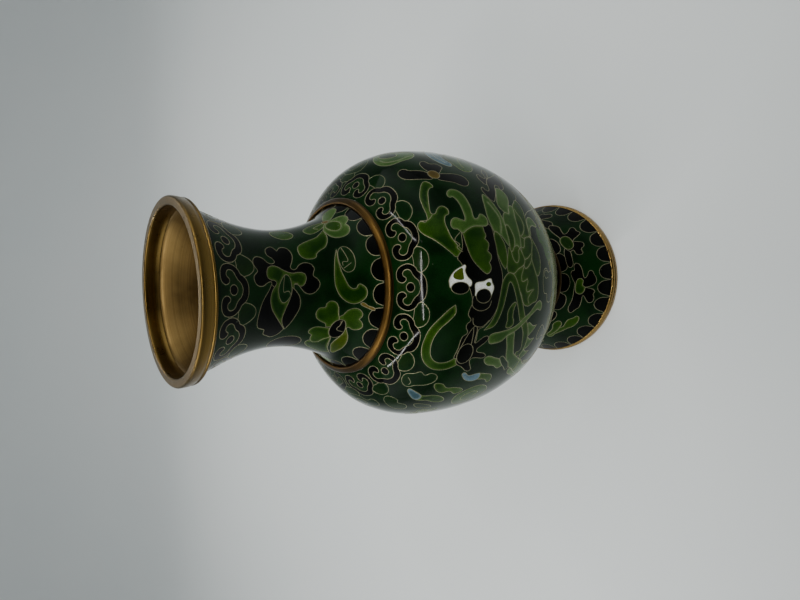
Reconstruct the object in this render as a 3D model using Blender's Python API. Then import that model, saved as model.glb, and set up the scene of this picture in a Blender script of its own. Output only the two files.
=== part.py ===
"""Cloisonne vase with brass mountings, modelled as the pieces it is soldered up from.

Standing on z = 0 with its axis on +Z. Lengths are written in millimetres and turned into metres
when a mesh is made. Spun metal shells carry enamel skins, and turned brass rings cover the joints.
"""

import math

import bmesh
import bpy
from mathutils import Vector
from mathutils.geometry import interpolate_bezier

MM = 0.001

# Driving dimensions
HEIGHT = 200.0
SEGMENTS = 40  # flats round each turned piece
CURVE_STEPS = 24  # points worked out between two neighbouring profile points

ENAMEL = 1.1  # thickness of the enamel skin
SHELL = 1.2  # thickness of the spun metal
SKIN_GAP = 0.3  # kept between a skin and the shell of the same outline
JOINT_GAP = 0.3  # kept between pieces soldered end to end

# Outer surfaces as (z, radius), bottom to top
NECK = [(134.0, 37.6), (138.0, 32.4), (144.0, 26.6), (152.0, 23.0), (160.0, 20.9),
        (168.0, 20.1), (176.0, 20.8), (184.0, 22.7), (192.0, 25.6), (198.0, 28.3)]
BODY = [(24.0, 22.4), (30.0, 24.5), (36.0, 27.9), (44.0, 33.2), (52.0, 39.0), (66.0, 47.9), (80.0, 52.6),
        (94.0, 54.2), (108.0, 53.8), (120.0, 51.1), (130.0, 44.8), (137.5, 34.0), (140.5, 26.8)]
FOOT = [(2.0, 39.8), (8.0, 36.4), (14.0, 32.7), (20.0, 28.5), (24.0, 25.6), (28.0, 23.4)]

# Levels where the pieces end
LIP_BASE = 195.3
COLLAR_LEVEL = 138.7
NECK_ENAMEL_BASE = 140.1
NECK_BASE = 138.4
SHOULDER_TOP = 137.5
EQUATOR = 94.0
BODY_BASE = 28.2
WAIST_LEVEL = 26.9
BOWL_BASE = 26.2
FOOT_TOP = 25.6
FOOT_RING_TOP = 4.0

# Rings
LIP_RADIUS = 29.3
MOUTH_RADIUS = 26.1
COLLAR_RADIUS = 31.5
COLLAR_BEAD = 1.6
WAIST_RADIUS = 24.2
WAIST_BEAD = 0.9
FOOT_RADIUS = 39.5
FOOT_BORE = 34.6

BRASS = ((0.55, 0.36, 0.13), 0.32, 1.0)
GREEN_ENAMEL = ((0.012, 0.06, 0.022), 0.08, 0.0)
BASE_ENAMEL = ((0.01, 0.045, 0.02), 0.15, 0.0)


def clear_scene():
    for obj in list(bpy.data.objects):
        bpy.data.objects.remove(obj, do_unlink=True)


def make_material(name, colour, roughness, metallic):
    material = bpy.data.materials.new(name)
    material.use_nodes = True
    shader = material.node_tree.nodes["Principled BSDF"]
    shader.inputs["Base Color"].default_value = (*colour, 1.0)
    shader.inputs["Roughness"].default_value = roughness
    shader.inputs["Metallic"].default_value = metallic
    return material


def smooth_curve(points):
    """A dense smooth curve through (z, radius) points, as vectors (z, radius)."""
    knots = [Vector(point) for point in points]
    before = [knots[0] * 2 - knots[1]] + knots[:-1]
    after = knots[1:] + [knots[-1] * 2 - knots[-2]]
    slopes = [(b - a) / 6 for a, b in zip(before, after)]
    curve = []
    for i in range(len(knots) - 1):
        curve += interpolate_bezier(knots[i], knots[i] + slopes[i],
                                    knots[i + 1] - slopes[i + 1], knots[i + 1], CURVE_STEPS)[:-1]
    return [Vector((point[0], point[1])) for point in curve] + [knots[-1]]


def inset(curve, depth):
    """The curve moved towards the axis by depth, square to itself."""
    moved = []
    for i, point in enumerate(curve):
        along = (curve[min(i + 1, len(curve) - 1)] - curve[max(i - 1, 0)]).normalized()
        moved.append(point + Vector((along.y, -along.x)) * depth)
    return moved


def radius_at(curve, level):
    for low, high in zip(curve, curve[1:]):
        if low.x <= level <= high.x:
            share = (level - low.x) / (high.x - low.x)
            return low.y + (high.y - low.y) * share
    raise ValueError(f"the curve has no point at z = {level}")


def levels_along(curve, bottom, top, count):
    """count levels from bottom to top, evenly spaced along the curve's length."""
    inner = [point for point in curve if bottom < point.x < top]
    path = [Vector((bottom, radius_at(curve, bottom)))] + inner + [Vector((top, radius_at(curve, top)))]
    run = [0.0]
    for low, high in zip(path, path[1:]):
        run.append(run[-1] + (high - low).length)
    levels = [bottom]
    for k in range(1, count - 1):
        goal = run[-1] * k / (count - 1)
        i = next(i for i in range(1, len(run)) if run[i] >= goal)
        share = (goal - run[i - 1]) / (run[i] - run[i - 1])
        levels.append(path[i - 1].x + (path[i].x - path[i - 1].x) * share)
    return levels + [top]


def wall(curve, outer_depth, inner_depth, levels):
    """The closed outline, as (radius, z), of a wall between two depths under the curve."""
    outside, inside = inset(curve, outer_depth), inset(curve, inner_depth)
    outline = [(radius_at(outside, z), z) for z in levels]
    return outline + [(radius_at(inside, z), z) for z in reversed(levels)]


def arc(centre_radius, centre_z, radius, start, end, count):
    """Points (radius, z) on an arc, with its angles in degrees from the outward direction."""
    angles = [math.radians(start + (end - start) * k / (count - 1)) for k in range(count)]
    return [(centre_radius + radius * math.cos(a), centre_z + radius * math.sin(a)) for a in angles]


def turn(name, outline, material, parent, closed=True):
    """A solid turned from an outline of (radius, z). An outline that is not closed ends on the axis."""
    mesh = bpy.data.meshes.new(name)
    bm = bmesh.new()
    ring = [bm.verts.new((radius * MM, 0.0, z * MM)) for radius, z in outline]
    pairs = list(zip(ring, ring[1:])) + ([(ring[-1], ring[0])] if closed else [])
    edges = [bm.edges.new(pair) for pair in pairs]
    bmesh.ops.spin(bm, geom=ring + edges, cent=(0, 0, 0), axis=(0, 0, 1),
                   angle=2 * math.pi, steps=SEGMENTS, use_duplicate=False)
    bmesh.ops.remove_doubles(bm, verts=bm.verts, dist=1e-6)
    bmesh.ops.recalc_face_normals(bm, faces=bm.faces)
    bm.to_mesh(mesh)
    bm.free()
    mesh.materials.append(material)
    mesh.shade_smooth()
    mesh.set_sharp_from_angle(angle=math.radians(35))
    obj = bpy.data.objects.new(name, mesh)
    bpy.context.scene.collection.objects.link(obj)
    obj.parent = parent
    return obj


def lip_outline():
    """Flat-topped rim with a small bead under its side, and a seat for the end of the neck."""
    edge, bead = 0.5, 0.55
    under = arc(LIP_RADIUS - bead - 0.15, LIP_BASE + bead, bead, -90, 50, 5)
    band_foot = (LIP_RADIUS - 0.15, LIP_BASE + 1.4)
    outer_edge = arc(LIP_RADIUS - edge, HEIGHT - edge, edge, 0, 90, 3)
    inner_edge = arc(MOUTH_RADIUS + edge, HEIGHT - edge, edge, 90, 180, 3)
    seat = [(MOUTH_RADIUS, LIP_BASE + 1.6), (24.9, LIP_BASE + 0.5), (24.9, LIP_BASE)]
    return under + [band_foot] + outer_edge + inner_edge + seat


def collar_outline():
    """Round bead on the foot of the neck, flattened where it sits on the shoulder."""
    bead = arc(COLLAR_RADIUS, COLLAR_LEVEL, COLLAR_BEAD, -34, 136, 8)
    back = COLLAR_RADIUS - 1.15
    return bead + [(back, COLLAR_LEVEL - 0.2), (back, SHOULDER_TOP + JOINT_GAP)]


def foot_ring_outline():
    """Heavy ring that the vase stands on, flat below, with a rounded shoulder under the enamel."""
    edge, shoulder = 0.4, 1.3
    foot = arc(FOOT_RADIUS - edge, edge, edge, -90, 0, 2)
    top = arc(FOOT_RADIUS - shoulder, FOOT_RING_TOP - shoulder, shoulder, 0, 90, 4)
    return foot + top + [(FOOT_BORE, FOOT_RING_TOP), (FOOT_BORE, 0.6), (FOOT_BORE + 0.6, 0.0)]


def build():
    clear_scene()
    vase = bpy.data.objects.new("vase", None)
    bpy.context.scene.collection.objects.link(vase)
    brass = make_material("brass", *BRASS)
    green = make_material("green_enamel", *GREEN_ENAMEL)
    under = make_material("base_enamel", *BASE_ENAMEL)
    neck, body, foot = smooth_curve(NECK), smooth_curve(BODY), smooth_curve(FOOT)
    metal_out, metal_in = ENAMEL + SKIN_GAP, ENAMEL + SKIN_GAP + SHELL

    # Neck, from the collar to the lip
    levels = levels_along(neck, NECK_ENAMEL_BASE, LIP_BASE - JOINT_GAP, 10)
    turn("neck_enamel", wall(neck, 0.0, ENAMEL, levels), green, vase)
    turn("neck_shell", wall(neck, metal_out, metal_in, [NECK_BASE] + levels), brass, vase)
    turn("lip_ring", lip_outline(), brass, vase)

    # Body: two bowls that meet at the widest level, under one skin
    lower = levels_along(body, BODY_BASE, EQUATOR, 9)
    upper = levels_along(body, EQUATOR, SHOULDER_TOP, 8)
    turn("body_enamel", wall(body, 0.0, ENAMEL, lower + upper[1:]), green, vase)
    turn("shoulder_shell", wall(body, metal_out, metal_in, [EQUATOR + JOINT_GAP] + upper[1:]), brass, vase)
    bowl = wall(body, metal_out, metal_in, lower)
    floor = [(0.0, BOWL_BASE), (bowl[0][0] - 0.8, BOWL_BASE)]
    turn("belly_shell", floor + bowl + [(0.0, BOWL_BASE + SHELL)], brass, vase, closed=False)

    # Foot, from the waist to the ring it stands on
    levels = levels_along(foot, FOOT_RING_TOP + JOINT_GAP, FOOT_TOP, 6)
    turn("foot_enamel", wall(foot, 0.0, ENAMEL, levels), green, vase)
    turn("foot_shell", wall(foot, metal_out, metal_in, levels), brass, vase)
    turn("foot_ring", foot_ring_outline(), brass, vase)

    # Beads over the two soldered joints
    turn("collar_ring", collar_outline(), brass, vase)
    turn("waist_ring", arc(WAIST_RADIUS, WAIST_LEVEL, WAIST_BEAD, 0, 300, 6), brass, vase)

    # Enamelled underside of the bowl, inside the foot
    radius = radius_at(inset(foot, metal_in), FOOT_TOP) - JOINT_GAP
    top = BOWL_BASE - JOINT_GAP
    disc = [(0.0, top - ENAMEL), (radius, top - ENAMEL), (radius, top), (0.0, top)]
    turn("base_enamel", disc, under, vase, closed=False)


build()
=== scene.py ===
"""Looks of the cloisonne vase: enamel skins with their wires, and the brass rings, round the fixed frame.

Each skin is drawn flat first. A place on a skin is (angle, run): degrees round the axis from the
front, positive to the right as seen from outside, and millimetres along the surface, down from the
ring above. Cells painted later cover those painted before them, and their wires.
"""

import math
import random

import bmesh
import bpy
import numpy as np
from mathutils import Matrix, Vector
from mathutils.geometry import delaunay_2d_cdt
from mathutils.kdtree import KDTree


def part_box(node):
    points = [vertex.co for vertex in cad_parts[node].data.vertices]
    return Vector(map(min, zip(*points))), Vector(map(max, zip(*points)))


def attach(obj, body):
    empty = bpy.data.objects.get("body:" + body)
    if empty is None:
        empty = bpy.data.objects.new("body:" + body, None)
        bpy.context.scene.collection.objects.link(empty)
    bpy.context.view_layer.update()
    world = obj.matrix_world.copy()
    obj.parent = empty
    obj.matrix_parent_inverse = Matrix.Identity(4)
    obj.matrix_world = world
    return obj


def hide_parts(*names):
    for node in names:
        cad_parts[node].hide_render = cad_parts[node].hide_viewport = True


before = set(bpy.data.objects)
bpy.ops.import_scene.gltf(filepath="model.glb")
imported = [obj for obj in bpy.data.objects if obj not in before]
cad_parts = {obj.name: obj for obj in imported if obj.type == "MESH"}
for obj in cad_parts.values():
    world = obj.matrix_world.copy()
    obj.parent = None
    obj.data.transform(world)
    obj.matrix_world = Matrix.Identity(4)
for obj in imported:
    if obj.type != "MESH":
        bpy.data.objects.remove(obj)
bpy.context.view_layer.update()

MM = 0.001

# Fineness of the meshes, in millimetres and segments
GRID = 1.15  # spacing of the points inside an enamel skin
CHORD = 1.0  # longest step along a wire
TURN = math.radians(14)  # largest change of direction between two steps along a wire
RIM_SEGMENTS = 320
LATHE_SEGMENTS = 256
INSIDE_ROWS = 28  # rows of points down the plain inside of a skin
SHELL_ROWS = 60  # rows of points down a metal wall
WIRES_PER_MESH = 600

# Wires and skins, in millimetres
WIRE_WIDTH = 0.21
WIRE_PROUD = 0.05
WIRE_DEPTH = 0.45
SKIN_THICKNESS = 1.0
FAR = 3.0  # the distance given to points that no wire is near

ENAMEL_IOR = 1.13  # low, as the photo shows the pale floor only faintly in the enamel

# Lamp strips overhead: name, two ends (x, y) in metres, watts
LAMP_HEIGHT = 0.5
LAMP_WIDTH = 0.005
LAMP_COLOUR = (1.0, 0.99, 0.96)
LAMPS = [("strip_front", (-0.2, -0.22), (0.16, -0.22), 1.0),
         ("strip_left", (-0.26, -0.17), (-0.46, 0.14), 1.2),
         ("strip_right", (0.22, -0.18), (0.36, 0.03), 0.6),
         ("strip_back", (0.3, 0.42), (-0.3, 0.42), 1.3)]

# Camera, in heights of the vase; the photo was taken with the camera on its side
EYE = (0.0, -0.835, 1.241)
AIM = (-0.034, -0.0014, 0.5398)
ROLL = -93.7  # degrees
LENS = 23.47  # millimetres, on a 36 mm sensor

# Enamel colours, each its own material
COLOURS = ["ground", "deep", "black", "leaf", "pale_leaf", "olive", "white", "sky", "ochre"]


# ---------------------------------------------------------------- curves

def tip(x, y):
    """A sharp corner: the point twice."""
    return [(x, y), (x, y)]


def bezier(a, b, c, d, count):
    """count points along a Bezier stretch from a towards d, without d itself."""
    t = (np.arange(count) / count)[:, None]
    return a * (1 - t) ** 3 + 3 * b * t * (1 - t) ** 2 + 3 * c * t * t * (1 - t) + d * t ** 3


def turning(a, b, c, d):
    """How far a Bezier stretch turns, from its control polygon."""
    legs = [leg for leg in (b - a, c - b, d - c) if np.hypot(*leg) > 1e-9]
    turn = 0.0
    for one, two in zip(legs, legs[1:]):
        cross = one[0] * two[1] - one[1] * two[0]
        turn += abs(math.atan2(cross, one @ two))
    return turn


def smooth(points, closed, scale):
    """A smooth line through the points. A point given twice is a sharp corner.

    scale is the millimetres in one degree, so that steps are measured on the surface.
    """
    unit = np.array([scale, 1.0])
    pts = np.array(points, float) * unit
    n = len(pts)
    same = [np.allclose(pts[i], pts[(i + 1) % n]) for i in range(n)]
    spans = range(n if closed else n - 1)
    line = []
    for i in spans:
        if same[i]:
            continue
        p1, p2 = pts[i], pts[(i + 1) % n]
        start = same[i - 1] if (closed or i > 0) else True
        end = same[(i + 1) % n] if (closed or i + 2 < n) else True
        p0 = p1 * 2 - p2 if start else pts[i - 1]
        p3 = p2 * 2 - p1 if end else pts[(i + 2) % n]
        length = np.hypot(*(p2 - p1))
        out_pull = length / max(np.hypot(*(p2 - p0)), 1e-9)
        in_pull = length / max(np.hypot(*(p3 - p1)), 1e-9)
        h1 = p1 + (p2 - p0) * out_pull / 3 * (0.5 if start else 1.0)
        h2 = p2 - (p3 - p1) * in_pull / 3 * (0.5 if end else 1.0)
        count = math.ceil(max(length / CHORD, turning(p1, h1, h2, p2) / TURN, 1))
        line.append(bezier(p1, h1, h2, p2, count))
    if not closed:
        line.append(pts[-1:])
    return np.concatenate(line) / unit


def ellipse(x, y, across, along):
    """Ten points on an ellipse about (x, y), for smooth()."""
    angles = [2 * math.pi * k / 10 for k in range(10)]
    return [(x + across * math.cos(a), y + along * math.sin(a)) for a in angles]


def inside(points, outline):
    """Which points lie in a closed outline, by crossings."""
    x, y = points[:, :1], points[:, 1:]
    x1, y1 = outline.T
    x2, y2 = np.roll(outline, -1, axis=0).T
    rise = np.where(y1 == y2, 1.0, y2 - y1)
    crossed = ((y1 > y) != (y2 > y)) & (x < (x2 - x1) * (y - y1) / rise + x1)
    return crossed.sum(1) % 2 == 1


# ---------------------------------------------------------------- a skin and its design

class Skin:
    """The outer surface of a turned CAD skin, from its top edge down."""

    def __init__(self, node, hidden, above=0.0, below=0.0):
        """hidden is how far above the skin's top edge the design's zero lies.

        above and below carry the surface a little past the CAD edges, up to the rings.
        """
        co = np.array([v.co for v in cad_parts[node].data.vertices], float) / MM
        radius = np.hypot(co[:, 0], co[:, 1])
        levels = np.unique(np.round(co[:, 2], 2))[::-1]
        rows = [(radius[np.abs(co[:, 2] - z) < 0.01].max(), z) for z in levels]
        curve = smooth(rows, False, 1.0)
        finer = 40 * len(curve)  # close enough for the sums below
        keep = np.linspace(0, len(curve) - 1, finer)
        curve = np.stack([np.interp(keep, np.arange(len(curve)), curve[:, k]) for k in (0, 1)], 1)
        ends = [(curve[0], curve[1], above), (curve[-1], curve[-2], below)]
        first, last = [edge + (edge - near) / np.hypot(*(edge - near)) * more for edge, near, more in ends]
        curve = np.concatenate([first[None]] * (above > 0) + [curve] + [last[None]] * (below > 0))
        self.r, self.z = curve[:, 0], curve[:, 1]
        step = np.hypot(np.diff(self.r), np.diff(self.z))
        self.s = hidden - above + np.concatenate([[0.0], np.cumsum(step)])  # the run at each point
        middle = (self.r[1:] + self.r[:-1]) / 2
        self.q = np.concatenate([[0.0], np.cumsum(step / middle)])  # logarithm of the plan's radius
        self.top, self.bottom = self.s[0], self.s[-1]
        slope_r, slope_z = np.gradient(self.r, self.s), np.gradient(self.z, self.s)
        length = np.hypot(slope_r, slope_z)
        self.nr, self.nz = -slope_z / length, slope_r / length  # the outward normal
        self.cells = []
        self.lines = []
        self.order = 0  # how many cells and lines are drawn so far
        self.turn = 0.0  # added to every angle that is drawn

    def scale(self, run):
        """Millimetres in one degree at a level."""
        return float(np.interp(run, self.s, self.r)) * math.pi / 180

    def plan(self, places):
        """The conformal plan: a ring in which small shapes keep their proportions."""
        angle = np.radians(places[:, 0])
        beyond = np.minimum(places[:, 1] - self.top, 0) / self.r[0]
        beyond += np.maximum(places[:, 1] - self.bottom, 0) / self.r[-1]
        rho = np.exp(np.interp(places[:, 1], self.s, self.q) + beyond)
        return np.stack([rho * np.sin(angle), -rho * np.cos(angle)], 1)

    def unplan(self, flat):
        """Places on the skin from points of the plan."""
        angle = np.degrees(np.arctan2(flat[:, 0], -flat[:, 1]))
        q = np.log(np.hypot(flat[:, 0], flat[:, 1]))
        return np.stack([angle, np.interp(q, self.q, self.s)], 1)

    def surface(self, places, lift=0.0):
        """Points on the skin in metres, and the normals there."""
        angle = np.radians(places[:, 0])
        nr, nz = np.interp(places[:, 1], self.s, self.nr), np.interp(places[:, 1], self.s, self.nz)
        r = np.interp(places[:, 1], self.s, self.r) + nr * lift
        z = np.interp(places[:, 1], self.s, self.z) + nz * lift
        points = np.stack([r * np.sin(angle), -r * np.cos(angle), z], 1) * MM
        normals = np.stack([nr * np.sin(angle), -nr * np.cos(angle), nz], 1)
        return points, normals

    def drawn(self, points, closed):
        """Angles and runs along a smooth line through the points."""
        places = np.array(points, float)
        middle = (places[:, 1].min() + places[:, 1].max()) / 2
        self.order += 1
        return smooth(places, closed, self.scale(middle)) + np.array([self.turn, 0.0])

    def cell(self, colour, points, wired=True):
        """A closed cell of one colour, with a wire on its outline."""
        line = self.drawn(points, True)
        flat = self.plan(line)
        self.cells.append({"colour": colour, "flat": flat, "order": self.order,
                           "low": flat.min(0), "high": flat.max(0)})
        self.lines.append({"places": np.concatenate([line, line[:1]]), "order": self.order, "wired": wired})

    def wire(self, points):
        """An open wire laid on what is already there."""
        self.lines.append({"places": self.drawn(points, False), "order": self.order, "wired": True})

    def paint(self, *motifs):
        """Each motif on the front and again on the back, carried round by the degrees given with it."""
        for back in (0.0, 180.0):
            for motif, ahead in motifs:
                self.turn = back + ahead
                motif(self)

    def covered(self, flat, order):
        """Which points of the plan lie under a later cell."""
        held = np.zeros(len(flat), bool)
        low, high = flat.min(0), flat.max(0)
        for cell in self.cells:
            if cell["order"] > order and (cell["low"] < high).all() and (cell["high"] > low).all():
                held |= inside(flat, cell["flat"])
        return held

    def visible_runs(self):
        """The stretches of line that no later cell covers, cut off there, and whether each is a wire."""
        runs = []
        for line in self.lines:
            places, order = line["places"], line["order"]
            hidden = self.covered(self.plan(places), order)
            hidden |= (places[:, 1] < self.top) | (places[:, 1] > self.bottom)
            run = []
            for i, place in enumerate(places):
                if not hidden[i]:
                    if not run and i > 0:
                        run.append(self.edge_between(places[i - 1], place, order))
                    run.append(place)
                elif run:
                    run.append(self.edge_between(place, places[i - 1], order))
                    runs.append((np.array(run), line["wired"]))
                    run = []
            if len(run) > 1:
                runs.append((np.array(run), line["wired"]))
        return runs

    def edge_between(self, hidden, shown, order):
        """The place between a hidden and a visible one where the cover begins."""
        for _ in range(6):
            middle = (hidden + shown) / 2
            out = not self.top < middle[1] < self.bottom
            if out or self.covered(self.plan(middle[None]), order)[0]:
                hidden = middle
            else:
                shown = middle
        return shown


def tree_of(points):
    """The points in a tree that finds the nearest one."""
    tree = KDTree(len(points))
    for i, point in enumerate(points):
        tree.insert(point, i)
    tree.balance()
    return tree


def drawn_places(skin, runs):
    """Places round both rims and along the visible lines, and the edges between neighbours."""
    rim_angles = np.arange(RIM_SEGMENTS) * 360.0 / RIM_SEGMENTS
    rims = (skin.top, skin.bottom)
    places = [np.stack([rim_angles, np.full(RIM_SEGMENTS, level)], 1) for level in rims]
    edges = []
    for first in (0, RIM_SEGMENTS):
        edges += [(first + i, first + (i + 1) % RIM_SEGMENTS) for i in range(RIM_SEGMENTS)]
    count = 2 * RIM_SEGMENTS
    margin = 0.06  # millimetres kept free beside the rims
    for run, _ in runs:
        keep = (run[:, 1] > skin.top + margin) & (run[:, 1] < skin.bottom - margin)
        index = np.cumsum(keep) - 1 + count
        edges += [(int(index[i]), int(index[i + 1])) for i in range(len(keep) - 1)
                  if keep[i] and keep[i + 1]]
        places.append(run[keep])
        count += int(keep.sum())
    return np.concatenate(places), edges


def filling_places(skin, drawn):
    """Places in staggered rows over the whole skin, none of them close to a drawn one."""
    rng = np.random.default_rng(7)
    row_height = GRID * 0.87  # about that of triangles with equal sides
    rows = round((skin.bottom - skin.top) / row_height)
    fill = []
    for k in range(1, rows):
        level = skin.top + (skin.bottom - skin.top) * k / rows
        n = max(round(skin.scale(level) * 360 / GRID), 8)
        angles = (np.arange(n) + 0.5 * (k % 2)) * 360 / n + rng.uniform(-0.02, 0.02, n)
        fill.append(np.stack([angles, np.full(n, level)], 1))
    fill = np.concatenate(fill)
    tree = tree_of(skin.surface(drawn)[0])
    clearance = GRID * 0.42 * MM
    near = [tree.find(point)[2] < clearance for point in skin.surface(fill)[0]]
    return fill[~np.array(near)]


def triangulate(skin, runs):
    """Points of the plan and triangles between them, with every visible outline along triangle edges."""
    drawn, edges = drawn_places(skin, runs)
    places = np.concatenate([drawn, filling_places(skin, drawn)])
    flat = [Vector(point) for point in skin.plan(places)]
    points, _, faces, _, _, _ = delaunay_2d_cdt(flat, edges, [], 0, 1e-6, False)
    points = np.array([tuple(p) for p in points])
    faces = np.array([f for f in faces if len(f) == 3])
    middle = points[faces].mean(1)
    rho = np.hypot(middle[:, 0], middle[:, 1])
    faces = faces[(rho > 1.0) & (rho < math.exp(skin.q[-1]))]
    used = np.unique(faces)
    faces = np.searchsorted(used, faces)
    return points[used], faces


def wire_distances(runs, skin, points):
    """How far each point of a skin is from the nearest wire, in millimetres."""
    spacing = 0.25 * MM
    samples = []
    for run in runs:
        path = skin.surface(run)[0]
        for a, b in zip(path, path[1:]):
            n = max(math.ceil(np.linalg.norm(b - a) / spacing), 1)
            samples.append(a + (b - a) * (np.arange(n) / n)[:, None])
    tree = tree_of(np.concatenate(samples))
    return np.array([tree.find(point)[2] for point in points]) / MM


def new_object(name, points, faces):
    """A mesh object from points in metres."""
    mesh = bpy.data.meshes.new(name)
    mesh.from_pydata([tuple(p) for p in points], [], [tuple(int(i) for i in f) for f in faces])
    mesh.update()
    obj = bpy.data.objects.new(name, mesh)
    bpy.context.scene.collection.objects.link(obj)
    return obj


def place(obj, slot, *nodes):
    """Fixes a finished piece to the vase's one body, in place of the CAD nodes named."""
    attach(obj, "root")
    if nodes:
        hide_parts(*nodes)


def cell_colours(skin, middles):
    """For each place of the plan, the number in COLOURS of the last cell that holds it."""
    colours = np.zeros(len(middles), int)
    for cell in skin.cells:
        near = np.flatnonzero(((middles > cell["low"]) & (middles < cell["high"])).all(1))
        held = near[inside(middles[near], cell["flat"])]
        colours[held] = COLOURS.index(cell["colour"])
    return colours


def close_inside(skin, flat, places):
    """The plain inside of a skin and its two edges: rows of new points, and all the quads there."""
    rho = np.hypot(flat[:, 0], flat[:, 1])
    rims = []
    for goal in (1.0, math.exp(skin.q[-1])):
        ring = np.flatnonzero(np.abs(rho - goal) < 1e-4 * goal)
        rims.append(ring[np.argsort(places[ring, 0] % 360)])
    angles = np.sort(places[rims[0], 0] % 360)
    rows = []
    for level in np.linspace(skin.top, skin.bottom, INSIDE_ROWS):
        row = np.stack([angles, np.full(len(angles), level)], 1)
        rows.append(skin.surface(row, -SKIN_THICKNESS)[0])
    rows[0][:, 2] = skin.z[0] * MM
    rows[-1][:, 2] = skin.z[-1] * MM

    n, first = len(angles), len(flat)
    last = first + (INSIDE_ROWS - 1) * n
    quads = []
    for k in range(INSIDE_ROWS - 1):
        for i in range(n):
            a, b = first + k * n + i, first + k * n + (i + 1) % n
            quads.append((a, b, b + n, a + n))
    for i in range(n):
        j = (i + 1) % n
        quads.append((rims[0][i], rims[0][j], first + j, first + i))
        quads.append((last + i, last + j, rims[1][j], rims[1][i]))
    return np.concatenate(rows), quads


def make_enamel(skin, name, materials):
    """The skin as one closed solid: the drawn outside, a plain inside, and the two edges.

    Returns the object and the runs that carry a wire.
    """
    runs = skin.visible_runs()
    wires = [run for run, wired in runs if wired]
    flat, faces = triangulate(skin, runs)
    places = skin.unplan(flat)
    outer = skin.surface(places)[0]
    inner, quads = close_inside(skin, flat, places)
    obj = new_object(name, np.concatenate([outer, inner]), [tuple(f) for f in faces] + quads)
    mesh = obj.data
    for material in materials:
        mesh.materials.append(material)
    colours = cell_colours(skin, flat[faces].mean(1))
    mesh.polygons.foreach_set("material_index", np.concatenate([colours, np.zeros(len(quads), int)]))
    distance = np.full(len(outer) + len(inner), FAR)
    distance[:len(outer)] = wire_distances(wires, skin, outer)
    mesh.attributes.new("wire_distance", "FLOAT", "POINT").data.foreach_set("value", distance)
    mesh.shade_smooth()
    mesh.set_sharp_from_angle(angle=math.radians(40))
    return obj, wires


def make_wires(skin, name, runs, material):
    """A flat-topped wire along each visible run, half sunk in the enamel."""
    half = WIRE_WIDTH / 2
    section = [(-half, -WIRE_DEPTH), (-half, WIRE_PROUD * 0.4), (-half * 0.55, WIRE_PROUD),
               (half * 0.55, WIRE_PROUD), (half, WIRE_PROUD * 0.4), (half, -WIRE_DEPTH)]
    m = len(section)
    points, faces = [], []
    for run in runs:
        path, normals = skin.surface(run)
        closed = len(run) > 3 and np.linalg.norm(path[0] - path[-1]) < 0.02 * MM
        if closed:
            path, normals = path[:-1], normals[:-1]
            ahead, behind = np.roll(path, -1, 0), np.roll(path, 1, 0)
        else:
            ahead = np.concatenate([path[1:], path[-1:]])
            behind = np.concatenate([path[:1], path[:-1]])
        along = ahead - behind
        along /= np.maximum(np.linalg.norm(along, axis=1), 1e-12)[:, None]
        side = np.cross(normals, along)
        first = len(points)
        for p, s, n in zip(path, side, normals):
            points += [p + (s * a + n * b) * MM for a, b in section]
        count = len(path)
        for k in range(count if closed else count - 1):
            a, b = first + k * m, first + (k + 1) % count * m
            for i in range(m):
                j = (i + 1) % m
                faces.append((a + i, b + i, b + j, a + j))
        if not closed:
            faces.append(tuple(range(first, first + m)))
            faces.append(tuple(range(first + count * m - 1, first + (count - 1) * m - 1, -1)))
    obj = new_object(name, points, faces)
    obj.data.materials.append(material)
    obj.data.shade_smooth()
    obj.data.set_sharp_from_angle(angle=math.radians(50))
    return obj


def make_turned(name, outline, material):
    """A solid turned from an outline of (radius, z) in millimetres, anticlockwise in that plane."""
    n = len(outline)
    points, faces = [], []
    for k in range(LATHE_SEGMENTS):
        a = 2 * math.pi * k / LATHE_SEGMENTS
        points += [(r * math.cos(a) * MM, r * math.sin(a) * MM, z * MM) for r, z in outline]
    for k in range(LATHE_SEGMENTS):
        a, b = k * n, (k + 1) % LATHE_SEGMENTS * n
        for i in range(n):
            j = (i + 1) % n
            faces.append((a + i, b + i, b + j, a + j))
    obj = new_object(name, points, faces)
    bm = bmesh.new()
    bm.from_mesh(obj.data)
    bmesh.ops.remove_doubles(bm, verts=bm.verts, dist=1e-7)
    bmesh.ops.recalc_face_normals(bm, faces=bm.faces)
    bm.to_mesh(obj.data)
    bm.free()
    obj.data.materials.append(material)
    obj.data.shade_smooth()
    obj.data.set_sharp_from_angle(angle=math.radians(35))
    return obj


# ---------------------------------------------------------------- motifs

# One side of a cloud head, in shares of its half width and height: its edge from the lowest point
# up, then the end of its curl, then the inner edge of its dark band
RUYI_SIDE = [(0.2, 0.99), (0.42, 0.93), (0.55, 0.83), (0.64, 0.73), (0.79, 0.67), (0.94, 0.54), (1.0, 0.36),
             (0.91, 0.13), (0.71, 0.02)]
RUYI_CURL = [(0.48, 0.0), (0.29, 0.05), (0.2, 0.18), (0.28, 0.31)]
RUYI_INNER = [(0.41, 0.32), (0.5, 0.24), (0.62, 0.22), (0.74, 0.29), (0.76, 0.4), (0.69, 0.49),
              (0.54, 0.55), (0.4, 0.62), (0.26, 0.73)]


def mirrored(half):
    """The other half of a motif drawn from x = 0 outwards."""
    return [(-x, y) for x, y in reversed(half)]


def shifted(points, x):
    """The points carried sideways by x."""
    return [(x + px, py) for px, py in points]


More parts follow.
